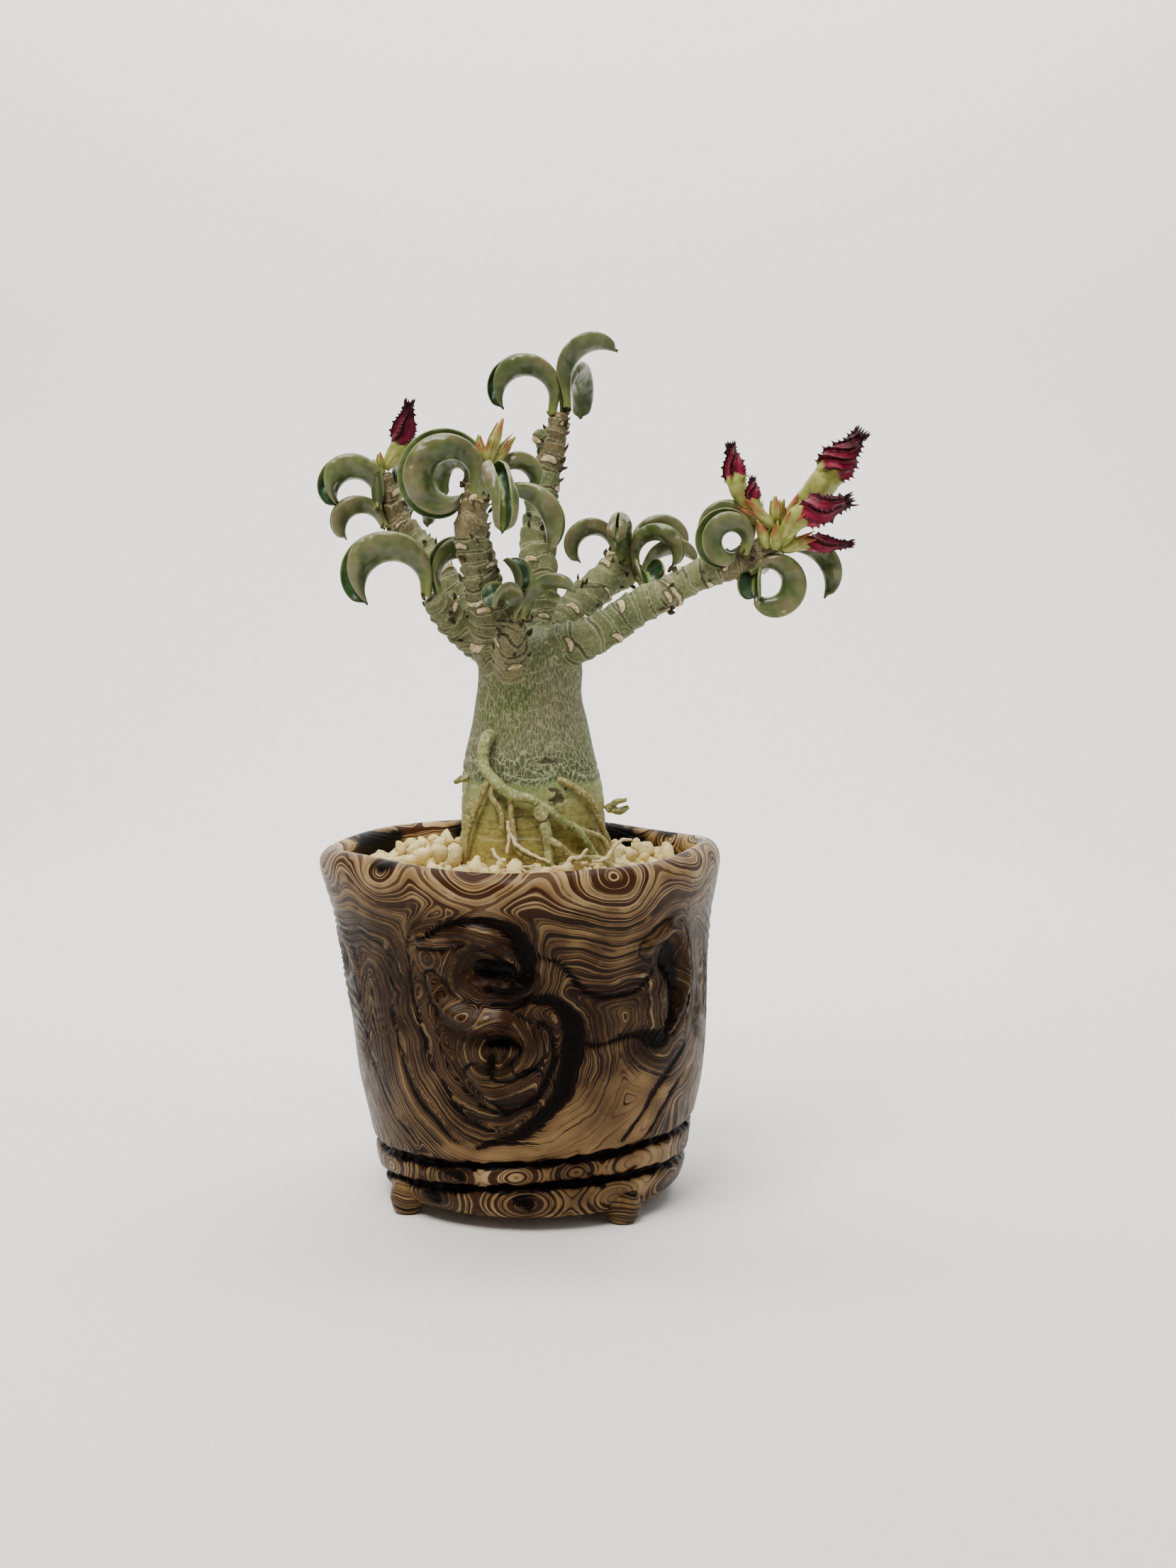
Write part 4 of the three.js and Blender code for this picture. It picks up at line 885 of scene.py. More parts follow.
def shareOut(points):
    # the limb that each point belongs to, 0 for the trunk, how far along it lies, and the leaf scars
    gap, along, *_ = nearestOnLimb(points, trunk)
    gap = gap - bark["trunkLead"]
    owner = np.zeros(len(points), int)
    scars = np.zeros(len(points))
    for number, stops in enumerate(limbs.values(), 1):
        away, s, angle, radius, length = nearestOnLimb(points, stops)
        mine = away < gap
        gap[mine], along[mine] = away[mine], s[mine]
        owner[mine] = number
        for k in range(2, int(length / bark["scarSpacing"])):
            at = (k + 0.35 * math.sin(k * 2.4 + number)) * bark["scarSpacing"]
            facing = math.radians(137.5 * k + 70 * number)
            side = np.angle(np.exp(1j * (angle - facing))) * radius / bark["scarAcross"]
            # a crescent, bowed towards the limb's tip
            up = (s - at + 0.9 * side * side) / bark["scarAlong"]
            scar = np.exp(-side**4 - up * up) * (0.75 + 0.25 * math.sin(k * 3.1))
            scars = np.maximum(scars, np.where(mine, scar, 0))
    return owner, along, scars


def perLimb(table, onTrunk):
    return np.array([onTrunk] + [table.get(name, table["others"]) for name in limbs])


def ringWrinkles(points, owner, along, branch):
    # each ring swells towards the tip and drops over a ledge into a tight crease
    wander = 2.4 * lumps(points + owner[:, None] * 37.0, 8, 51) + 0.5 * lumps(points, 2.6, 52)
    phase = (along + wander) / perLimb(ringSpacing, ringSpacing["others"])[owner]
    saw = phase - np.floor(phase)
    strength = mix(0.45, 1.05, ramp(lumps(points, 4, 57), -0.45, 0.45)) * ramp(along, 3, 7) * branch
    height = bark["ringHeight"] * (saw**1.6 * ramp(-saw, -1, -0.9) - 0.35) * strength
    fold = np.exp(-((saw - 0.04) / 0.09) ** 2) + np.exp(-((saw - 1.04) / 0.09) ** 2)
    return height, fold * strength


def trunkCreases(points, onTrunk):
    creases = np.zeros(len(points))
    for level, depth, wide in levelCreases:
        away = level + 0.9 * lumps(points * [1, 1, 0.2], 8, int(level)) - points[:, 2]
        broken = ramp(lumps(points * [1, 1, 0.5], 9, int(level) + 1), -0.3, 0.3)
        creases = np.maximum(creases, onTrunk * depth * np.exp(-(away / wide) ** 2) * broken)
    return creases


def frontMarks(points, onTrunk):
    x, z = points[:, 0], points[:, 2]
    scar, blotch = diamondScar, darkBlotch
    front = onTrunk * (points[:, 1] < 0)
    sideways = np.abs(x - scar["x"])
    diamond = sideways / scar["halfWidth"]
    diamond = diamond + np.abs(z - scar["z"] + 0.3 * lumps(points, 2, 59)) / scar["halfHeight"]
    outline = 0.75 * np.exp(-((diamond - 1) / 0.2) ** 2) * ramp(sideways, 0.4, 2.4)
    heart = 1.5 * np.exp(-((diamond + 0.3 * lumps(points, 0.9, 62)) / 0.55) ** 2)
    marks = front * np.maximum(outline, heart)
    away = np.hypot(x - blotch["x"], z - blotch["z"]) / blotch["radius"]
    away = away + 0.8 * lumps(points, 1.3, 60) + 0.5 * lumps(points, 0.7, 61)
    return np.maximum(marks, front * 1.1 * ramp(-away, -0.9, -0.4))


def makeBody(material):
    shape = Shape()
    tube(shape, trunk, 72, 1.5, lambda s, t: (
        1 + 0.018 * np.cos(3 * t + (s + 30) / 14) + 0.012 * np.cos(5 * t - (s + 30) / 9)))
    for stops in limbs.values():
        tube(shape, stops, 32, 1.2)
    mesh = remeshed(shape, bark["voxel"])
    # round off the creases where limbs meet
    points = relaxed(mesh, meshPoints(mesh), bark["roundings"], bark["rounding"])
    mesh.vertices.foreach_set("co", points.ravel())
    mesh.update()
    normals = meshPoints(mesh, "normal")
    owner, along, scars = shareOut(points)
    branch = relaxed(mesh, (owner > 0).astype(float)[:, None], bark["blendings"], bark["blending"])[:, 0]
    onTrunk = 1 - branch
    z = points[:, 2]
    height, folds = ringWrinkles(points, owner, along, branch)
    height += 0.55 * scars - 0.3 * ramp(scars, 0.8, 1)
    rough = (0.24 * lumps(points, 2.4, 53) + 0.12 * lumps(points, 1.1, 58)) * branch
    height += rough + 0.3 * lumps(points, 7, 54)
    height += onTrunk * (0.16 * lumps(points, 3.2, 55) * ramp(z, 132, 140))
    creases = trunkCreases(points, onTrunk)
    marks = frontMarks(points, onTrunk)
    height -= creases
    height -= 0.35 * marks
    points = points + normals * height[:, None]
    mesh.vertices.foreach_set("co", toRow(points).astype(np.float32).ravel())
    dry = perLimb(dryLimbs, 0)[owner] * branch
    for number, name in enumerate(limbs, 1):
        if name in dryFrom:
            dryTip = 0.9 * ramp(along, dryFrom[name], dryFrom[name] + 6)
            dry = np.where(owner == number, np.maximum(dry, dryTip), dry)
    mossy = np.zeros(len(points))
    for x, level, across, up, amount in mossyPlaces:
        away = np.hypot((points[:, 0] - x) / across, (z - level) / up)
        mossy += amount * np.exp(-away**2) * (points[:, 1] < 6)
    # the creases, later painted dark as shade, and the dark scar marks
    crease = np.max([folds, marks, 1.35 * creases], axis=0)
    values = dict(branch=branch, mossy=mossy, scar=scars, crease=crease, height=z, dry=np.clip(dry, 0, 1))
    for key, value in values.items():
        writeValues(mesh, key, value)
    mesh.update()
    print("body faces:", len(mesh.polygons))
    return finishPiece("caudex_body", mesh, material, ["caudex"])


# Living bark of a desert rose, thin and tight: grey-green with a net of pale stretch cracks, a greener
# band, tan, dusty and pitted near the soil; matt, with a faint waxy bloom.
def caudexBark():
    material, node, place, branch, scar, crease, height, dry, mossy = startMaterial(
        "caudex_living_bark", "branch", "scar", "crease", "height", "dry", "mossy")
    wide, middle, small, fine = (
        node("TexNoise", {"Vector": place, "Scale": 1000 / size, "Detail": detail, "Roughness": roughness})
        for size, detail, roughness in ((14, 3.0, 0.5), (5, 4.0, 0.5), (2.2, 6.0, 0.62), (0.9, 5.0, 0.62)))
    # the colours up the trunk, over heights from 80 to 150 mm: two sets, that lie in patches
    level = node("Math", {"operation": "MULTIPLY_ADD", 0: middle, 1: 3.0, 2: height})
    level = node("MapRange", {"Value": level, "From Min": 81.5, "From Max": 151.5})
    grey = node("ValToRGB", {"stops": [
        (0.08, "#957c3b"), (0.2, "#998d46"), (0.31, "#a09b5d"), (0.37, "#92995d"), (0.395, "#828e57"),
        (0.405, "#4b5638"), (0.46, "#4d553a"), (0.52, "#565a40"), (0.66, "#626145"), (0.82, "#5a5b41"),
    ], "Fac": level})
    green = node("ValToRGB", {"stops": [
        (0.08, "#a18d47"), (0.2, "#a0984f"), (0.31, "#989a55"), (0.37, "#86985a"), (0.395, "#738a4e"),
        (0.405, "#40522f"), (0.46, "#475634"), (0.52, "#525f37"), (0.66, "#4f5b2f"), (0.82, "#535c37"),
    ], "Fac": level})
    patch = node("Math", {"operation": "ADD", 0: wide, 1: mossy})
    # near the soil: dusty, with brown stains, pale patches and fine level creases
    nearSoil = node("MapRange", {"Value": height, "From Min": 109.0, "From Max": 103.0})
    nearSoil = node("Math", {"operation": "SUBTRACT", 0: nearSoil, 1: branch, "use_clamp": True})
    lines = node("Mapping", {"Vector": place, "Scale": (0.22, 0.22, 1)})
    lines = node("TexNoise", {"Vector": lines, "Scale": 1000 / 1.1, "Detail": 3.0})
    limb = node("ValToRGB", {"stops": [(0.36, "#4c5c38"), (0.62, "#70764f")], "Fac": wide})
    brownish = node("ValToRGB", {"stops": [(0.4, "#4f4029"), (0.6, "#6c5f41")], "Fac": middle})
    # stretch cracks: long and close up the neck, a zigzag net round the belly
    stray = node("TexNoise", {"Vector": place, "Scale": 1000 / 1.8, "Detail": 1.0}, "Color")
    stray = node("VectorMath", {"operation": "MULTIPLY_ADD", 0: stray, 1: (0.0011, 0.0011, 0.0011), 2: place})
    cracks = []
    for length, width, start, end, most in ((0.2, 0.7, 0.01, 0.13, 0.56), (0.42, 1.0, 0.01, 0.11, 0.95)):
        cell = node("Mapping", {"Vector": stray, "Scale": (1, 1, length)})
        cell = node("TexVoronoi", {"Vector": cell, "feature": "DISTANCE_TO_EDGE", "Scale": 1000 / width})
        cracks.append(node("MapRange", {
            "Value": cell, "From Min": start, "From Max": end, "To Min": most, "To Max": 0.0}))
    belly = node("MapRange", {"Value": height, "From Min": 122.0, "From Max": 113.0})
    cracks = node("Mix", {0: belly, 2: cracks[0], 3: cracks[1]})
    shown = node("MapRange", {"Value": small, "From Min": 0.34, "From Max": 0.6, "To Min": 0.35})
    lower = node("MapRange", {"Value": height, "From Min": 104.0, "From Max": 110.0, "To Min": 0.12})
    for share in (shown, lower):
        cracks = node("Math", {"operation": "MULTIPLY", 0: cracks, 1: share})
    onLimb = node("MapRange", {"Value": branch, "To Min": 0.8, "To Max": 0.22})
    pale = node("Math", {"operation": "MULTIPLY", 0: cracks, 1: onLimb})
    # creases: a pale lip beside a dark line, the line being painted shade in the crease
    lip = node("ValToRGB", {"stops": [(0.06, 0.0), (0.2, 0.5), (0.32, 0.0)], "Fac": crease})
    # leaf scars: a cream cork pad, tan inside, with a dark rim
    ragged = node("Math", {"operation": "MULTIPLY_ADD", 0: small, 1: 0.5, 2: scar})
    cork = node("ValToRGB", {"stops": [(0.35, "#ddd3b0"), (0.6, "#ad9262")], "Fac": fine})
    rim = node("ValToRGB", {"stops": [(0.42, 0.0), (0.58, 0.85), (0.7, 0.0)], "Fac": ragged})
    nearScar = node("MapRange", {"Value": scar, "From Max": 0.2})
    rim = node("Math", {"operation": "MULTIPLY", 0: rim, 1: nearScar})
    colour = paint(node, grey, [
        ((patch, 0.42, 0.62, 1.0), green),
        ((small, 0.5, 0.62, 0.6, nearSoil), "#6e5b2f"),
        ((small, 0.45, 0.34, 0.4, nearSoil), "#b5b07a"),
        ((lines, 0.56, 0.64, 0.55, nearSoil), "#5a4c2a"),
        (branch, limb),
        (dry, brownish),
        (pale, "#c6c69d"),
        ((fine, 0.54, 0.7, 0.6), "#3c3520"),  # dirt
        ((fine, 0.42, 0.3, 0.5), "#b1ac83"),  # pale flecks
        (lip, "#b5b08a"),
        # painted shade in the creases, and the dark diamond scar and blotch
        ((crease, 0.35, 0.75, 0.85), "#332c19"),
        ((ragged, 0.66, 0.8, 1.0), cork),
        (rim, "#33261a"),
    ])
    rough = node("MapRange", {"Value": fine, "From Min": 0.3, "From Max": 0.7, "To Min": 0.5, "To Max": 0.8})
    normal = node("Bump", {"Distance": 0.00022, "Height": small})
    normal = node("Bump", {"Distance": 0.00014, "Height": fine, "Normal": normal})
    normal = node("Bump", {"Distance": 0.0001, "Height": cracks, "Normal": normal})
    skin = node("BsdfPrincipled", {
        "Base Color": colour, "Roughness": rough, "IOR": 1.45, "Normal": normal, "Specular IOR Level": 0.3,
        "Subsurface Weight": 0.04, "Subsurface Radius": (0.6, 0.8, 0.3), "Subsurface Scale": 0.001})
    node("OutputMaterial", {"Surface": skin}, None)
    return material


barkMaterial = caudexBark()
makeBody(barkMaterial)
print("body is made")


# Roots that left the bark above the pumice, and stubs

roots = [
    [(-9, -9, 119.5, 1.5), (-10.4, -14.1, 119, 1.6), (-11.2, -15.0, 116, 1.5), (-11, -16.2, 112, 1.4),
     (-8.6, -17.8, 109, 1.3), (-5, -19.4, 106, 1.3), (0.3, -20.2, 104.5, 1.2), (4.3, -20.0, 102.3, 1.2),
     (8.3, -19.0, 99, 1.1), (12, -17.4, 96.3, 1.1), (15, -15.4, 92, 1.0), (16.8, -14.4, 88.5, 1.0),
     (17.2, -14.6, 82, 0.9)],
    [(-9.6, -16, 110, 0.9), (-10.6, -16.6, 107.5, 0.8), (-13.4, -15.0, 101, 0.8), (-15.2, -14.0, 95.5, 0.7),
     (-17.2, -13.2, 83, 0.7)],
    [(-8.6, -17.2, 108.5, 0.8), (-9.3, -17.2, 105, 0.7), (-7, -18.8, 101.5, 0.7), (-6.5, -19.2, 96.5, 0.6)],
    [(-4.6, -18.9, 106, 0.8), (-4.2, -19.6, 100, 0.7), (-3.4, -20.2, 95, 0.7), (-2.2, -21.0, 91.2, 0.7),
     (3.7, -23.2, 89.4, 0.6)],
    [(3.3, -16, 99.5, 1.3), (3.8, -20.2, 98.6, 1.5), (4.4, -21.4, 96.2, 1.45), (5.2, -21.6, 92.5, 1.3),
     (5, -22.4, 89.5, 1.1), (7.4, -23.4, 84, 1.0)],
    [(5.2, -21.8, 94.5, 1.0), (7.2, -22.8, 93.4, 1.0), (11, -22.2, 90.4, 0.9), (19, -20.4, 89.2, 0.8),
     (22.5, -19.6, 84, 0.8)],
    [(7, -15, 109, 0.9), (9.2, -16.9, 108.2, 0.9), (12.6, -15.4, 106, 0.9), (15.2, -13.6, 103.5, 0.9),
     (17.4, -11.6, 98, 0.8), (19.8, -9.6, 92.5, 0.8), (21.4, -9.2, 83, 0.8)],
    [(11.5, -17.2, 96.8, 0.9), (14.0, -15.6, 95.8, 0.8), (18.4, -12.6, 93.4, 0.8), (21.6, -11.6, 84, 0.8)],
]
# short dead ends that stick out of the trunk
stubs = [
    [(-15.6, -8.5, 108.6, 0.9), (-17.6, -9.6, 108.2, 0.8), (-18.9, -10.3, 107.6, 0.5)],
    [(19.4, -2, 99.6, 1.1), (21.8, -2.4, 101.6, 0.8), (24.6, -2.8, 102.4, 0.45)],
    [(20.4, -2, 99.8, 1.0), (23.4, -1.4, 99.4, 0.9), (25, -1, 100.4, 0.6)],
]
# white feeding roots that curl up between the stones at the front
paleRoots = [
    [(-4.2, -19.6, 97, 0.5), (-3.4, -21.2, 93.8, 0.5), (-1.2, -22.4, 92.2, 0.48), (2.2, -23.6, 90.6, 0.4),
     (5.4, -24.2, 89.4, 0.3)],
    [(6.6, -24.2, 86.5, 0.6), (8.8, -24.6, 88.2, 0.6), (11, -24.2, 90.6, 0.52), (12.2, -23.8, 90.2, 0.48),
     (14.6, -23, 92.6, 0.35)],
    [(15.5, -21.6, 89.2, 0.6), (19.2, -20.6, 89.8, 0.6), (21.2, -19.6, 92.6, 0.5),
     (23.4, -18.8, 94.2, 0.42), (25.6, -17.8, 94, 0.3)],
    [(-9, -19.8, 92, 0.45), (-7.6, -21.4, 90, 0.42), (-5.6, -22.6, 89.4, 0.3)],
    [(-5.2, -19.4, 99, 0.5), (-4.8, -20, 95, 0.45), (-5.4, -20.8, 91, 0.4)],
]
# a sawn-off root: its two ends, then how far along, how wide and how dark
cutRoot = dict(foot=(3.0, -15.5, 101.4), head=(3.2, -22.2, 101.2), rings=[
    (0, 1.5, 0), (0.5, 1.6, 0), (0.86, 1.8, 0), (0.96, 2.0, 0.3), (0.985, 1.98, 1), (0.99, 1.7, 0.8),
    (0.975, 1.4, 0), (0.98, 0.2, 0),
])
# and finer ones, scattered over the pumice
hairRoots = dict(seed=7, count=16, length=(5, 12), radius=0.32)


def makeRoots(material):
    shape = Shape("pale", "thin", "ring")
    for number, stops in enumerate(roots):
        def uneven(s, t):
            place = np.stack(np.broadcast_arrays(s, 3 * np.cos(t), 3 * np.sin(t) + number * 40), -1)
            folds = np.abs(np.sin(s * 1.9 + 1.6 * lumps(place, 3, 63))) ** 0.5
            return 0.95 + 0.09 * folds + 0.13 * lumps(place, 3.5, 61) + 0.07 * lumps(place, 1.2, 62)

        _, along = smoothPath(stops, 0.45)
        ring = 1 - np.abs(np.sin(along * 1.9)) ** 0.5
        thin = float(np.clip(1.9 - max(r for *_, r in stops), 0.0, 1))
        tube(shape, stops, 22, 0.45, uneven, pale=0.0, thin=thin, ring=ring[:, None])
    for stops in stubs:
        tube(shape, stops, 14, 0.4, lambda s, t: 1 + 0.18 * np.sin(3 * t + 2 * s), pale=0.0, thin=0.8)
    foot, head = np.array(cutRoot["foot"]), np.array(cutRoot["head"])
    around = np.arange(28) / 28 * 2 * math.pi
    circle = np.stack([np.cos(around), 0 * around, np.sin(around)], -1)
    circle = circle * (1 + 0.06 * np.sin(3 * around))[:, None]
    rings = np.stack([mix(foot, head, t) + circle * r for t, r, _ in cutRoot["rings"]])
    dark = np.array([ring for *_, ring in cutRoot["rings"]])
    shape.loft(rings, pale=0.05, thin=0.5, ring=dark[:, None])
    for stops in paleRoots:
        tube(shape, stops, 12, 0.4, lambda s, t: 1 + 0.2 * np.sin(2.6 * s + t), pale=0.85, thin=1.0)
    random = np.random.RandomState(hairRoots["seed"])
    for _ in range(hairRoots["count"]):
        angle = math.radians(random.uniform(-95, -35))
        out = random.uniform(20, 25)
        heading = angle + random.uniform(-1.2, 1.2)
        level = 86.5 + random.uniform(0, 2)
        place = np.array([out * math.cos(angle) + potCentre(86), out * math.sin(angle), level])
        step = random.uniform(*hairRoots["length"]) / 5
        stops = []
        for k in range(6):
            stops.append((*place, hairRoots["radius"] * (1.25 - 0.16 * k)))
            heading += random.uniform(-0.7, 0.7)
            rise = random.uniform(-0.1, 0.22)
            place = place + step * np.array([math.cos(heading), math.sin(heading), rise])
        tube(shape, stops, 10, 0.5, pale=1.0, thin=1.0)
    return shape.make("surface_roots", material)


# Surface roots: the same bark gone smooth, grey-green and flecked with white where it is thick, tan where
# thin, almost white at the young tips, which are a little translucent.
def rootSkin():
    material, node, place, pale, thin, ring = startMaterial("root_skin_living", "pale", "thin", "ring")
    mottle = node("TexNoise", {"Vector": place, "Scale": 1000 / 2.2, "Detail": 4.0})
    thick = node("ValToRGB", {"stops": [(0.36, "#6f7f4b"), (0.64, "#9aa46c")], "Fac": mottle})
    slim = node("ValToRGB", {"stops": [(0.36, "#7d733f"), (0.64, "#a39a62")], "Fac": mottle})
    specks = node("TexNoise", {"Vector": place, "Scale": 1000 / 0.8, "Detail": 4.0, "Roughness": 0.6})
    colour = paint(node, thick, [
        (thin, slim),
        ((specks, 0.46, 0.34, 0.7), "#cfcdaa"),
        ((ring, 0.5, 1.0, 0.6), "#4c4427"),
        (pale, "#e2d3ab"),
        ((specks, 0.57, 0.7, 0.65), "#51432a"),
    ])
    normal = node("Bump", {"Distance": 0.00016, "Height": specks})
    skin = node("BsdfPrincipled", {
        "Base Color": colour, "Roughness": 0.6, "IOR": 1.45, "Normal": normal, "Specular IOR Level": 0.35,
        "Subsurface Weight": 0.06, "Subsurface Scale": 0.001})
    node("OutputMaterial", {"Surface": skin}, None)
    return material


makeRoots(rootSkin())
print("roots are made")


# Leaves: folded along the midrib and arched over backwards, the margins on the outside of the arch.
# root is where a leaf leaves its branch, heading and rise say which way, curl how far it turns over after
# its stalk, sooner with a bend under 1, width is from midrib to margin and gape how far the halves part.
# roll turns a leaf about its midrib, twist its tip only, peel narrows one half (by how much and from where)
# and plump swells it.

leafKeys = ("root", "heading", "length", "rise", "curl", "width", "gape")
plainLeaf = dict(stalk=3, bend=1, roll=0, twist=0, peel=(0, 0), plump=1)


def arch(*measures, **more):
    return {**dict(zip(leafKeys, measures)), **plainLeaf, **more}


leaves = {
    "far_left_1": arch((-41, 22, 176.5), 183, 21.5, 2, 205, 6.4, 0.16, roll=1, twist=30, peel=(0.62, 0.62)),
    "far_left_2": arch((-38.6, 22.5, 171.5), 190, 17.5, 40, 165, 4.6, 0.2),
    "far_left_3": arch((-40.3, 19.8, 176), 280, 9.5, -4, 25, 2, 0.2),
    "far_left_4": arch((-33.5, 27.5, 174), 60, 14, 50, 135, 3.4, 0.3),
    "low_left_1": arch((-25.5, -14.5, 154), 180, 29, 8, 200, 7.4, 0.14, roll=1, twist=30, peel=(0.62, 0.62)),
    "low_left_2": arch((-22, -12, 154.5), 35, 22, -8, 190, 5, 0.16),
    "centre_1": arch((-13.6, -20.8, 178), 183, 30, 0, 300, 8.4, 0.14, stalk=5, roll=3, peel=(0.17, 0.05)),
    "centre_2": arch((-14, -15.5, 179), 130, 20, 10, 190, 5, 0.25),
    "centre_3": arch((-10.2, -22.6, 178), 286, 28, 5, 178, 5.4, 0.13, stalk=1, bend=0.6, plump=1.7),
    "centre_4": arch((-8.6, -18.2, 177.5), 352, 24, 40, 150, 5, 0.2, stalk=1, bend=0.6),
    "centre_5": arch((-8.6, -15.6, 180.5), 15, 16, 25, 165, 4, 0.2),
    "centre_6": arch((-15.4, -15.4, 181.6), 150, 7, -8, 60, 1.6, 0.2),
    "tall_1": arch((5.2, 21, 200.5), 178, 27, 0, 200, 5.4, 0.15, stalk=4, roll=1, twist=25, peel=(0.5, 0.6)),
    "tall_2": arch((9.4, 20.6, 202.5), 5, 24, 3, 112, 4.8, 0.4, stalk=7),
    "tall_3": arch((8.8, 24.3, 201), 75, 27, 8, 190, 5.4, 0.3),
    "front_1": arch((-4.2, -22.8, 149), 215, 10.5, 0, 190, 3.8, 0.6),
    "front_2": arch((-3.4, -18.2, 152.3), 150, 12, -12, 70, 3.4, 0.5),
    "front_3": arch((-0.2, -17.4, 148.8), 330, 8, 10, 70, 2.6, 0.5),
    "front_4": arch((-1.2, -20.5, 149), 355, 17, 22, 100, 3.4, 0.3),
    "right_back_1": arch((21.6, 20, 163), 184, 20, 10, 205, 4.1, 0.2),
    "right_back_2": arch((23.6, 16.6, 162), 262, 18, 0, 150, 4.6, -0.06, plump=2.1),
    "right_back_3": arch((26.4, 22.5, 163), 8, 20.5, 15, 150, 4, 0.2),
    "right_back_4": arch((27.4, 16.6, 160.5), 342, 21, 0, 205, 4, 0.2),
    "right_back_5": arch((28.6, 18.2, 159.6), 0, 17, 42, 90, 3.8, 0.3),
    "right_back_6": arch((28.2, 17, 157.4), 285, 12, 60, 115, 4.2, 0.5),
    "right_back_7": arch((26.4, 24.6, 163), 60, 7, 20, 60, 1.6, 0.2),
    "long_right_1": arch((52.6, -18.1, 164.4), 190, 18.5, -4, 300, 5.9, 0.14, roll=3, peel=(0.15, 0.05)),
    "long_right_2": arch((54, -10.6, 166), 172, 20, -4, 230, 4.6, 0.2),
    "long_right_3": arch((58.8, -11, 164), 2, 23.5, 68, 130, 4.8, 0.2),
    "long_right_4": arch((54.6, -14.4, 160.2), 352, 20.5, 68, 250, 5.7, 0.16),
    "far_left_5": arch((-35.6, 26.6, 177.5), 78, 19, 10, 170, 4.4, 0.3),
    "long_right_6": arch((59.6, -11.2, 166.6), 84, 21, 20, 165, 4.6, 0.3),
    "long_right_5": arch((58.6, -9.4, 160.6), 240, 11, 100, 130, 3.6, 0.5),
}

# measures in mm, or as shares of the leaf's own length and width
blade = dict(
    stations=54, steps=8, across=27, widestAt=0.62, midrib=0.55, halfThickness=0.36, keel=0.34,
    keelShare=0.08, puff=0.9, bulgeLeast=0.6, bulgeShare=0.16, bulgeGape=0.5, openingAtStalk=0.6,
    openingAtTip=1.5, waviness=0.3, tip=0.4,
)


def bladeShare(s):
    widest = blade["widestAt"]
    rising = 0.18 + 0.82 * (0.5 - 0.5 * np.cos(np.pi * np.minimum(s, widest) / widest)) ** 0.8
    falling = 0.08 + 0.92 * (1 - (np.clip(s - widest, 0, None) / (1 - widest)) ** 2) ** 0.9
    return np.where(s < widest, rising, falling)


def leafFrames(leaf):
    # the stations along the midrib, found by several steps between each two
    steps = blade["steps"]
    s = np.linspace(0, 1, blade["stations"] * steps + 1)
    stalk = leaf["stalk"]
    share = np.clip(s * leaf["length"] - stalk, 0, None) / (leaf["length"] - stalk)
    angle = np.radians(leaf["rise"] + leaf["curl"] * share ** leaf["bend"])
    heading = math.radians(leaf["heading"])
    outward, up = np.array([math.cos(heading), math.sin(heading), 0]), np.array([0, 0, 1])
    step = leaf["length"] / (len(s) - 1)
    middle = (angle[1:] + angle[:-1]) / 2
    forward = np.cos(middle)[:, None] * up + np.sin(middle)[:, None] * outward
    places = np.array(leaf["root"]) + np.vstack([np.zeros(3), np.cumsum(forward * step, axis=0)])
    back = np.sin(angle)[:, None] * up - np.cos(angle)[:, None] * outward
    forward = np.cos(angle)[:, None] * up + np.sin(angle)[:, None] * outward
    rolled = np.radians(leaf["roll"] * ramp(s, 0, 0.3) + leaf["twist"] * s**5)[:, None]
    across = np.cross(up, outward) * np.cos(rolled) - back * np.sin(rolled)
    back = back * np.cos(rolled) + np.cross(up, outward) * np.sin(rolled)
    return [column[::steps] for column in (s, places, back, across, forward)]


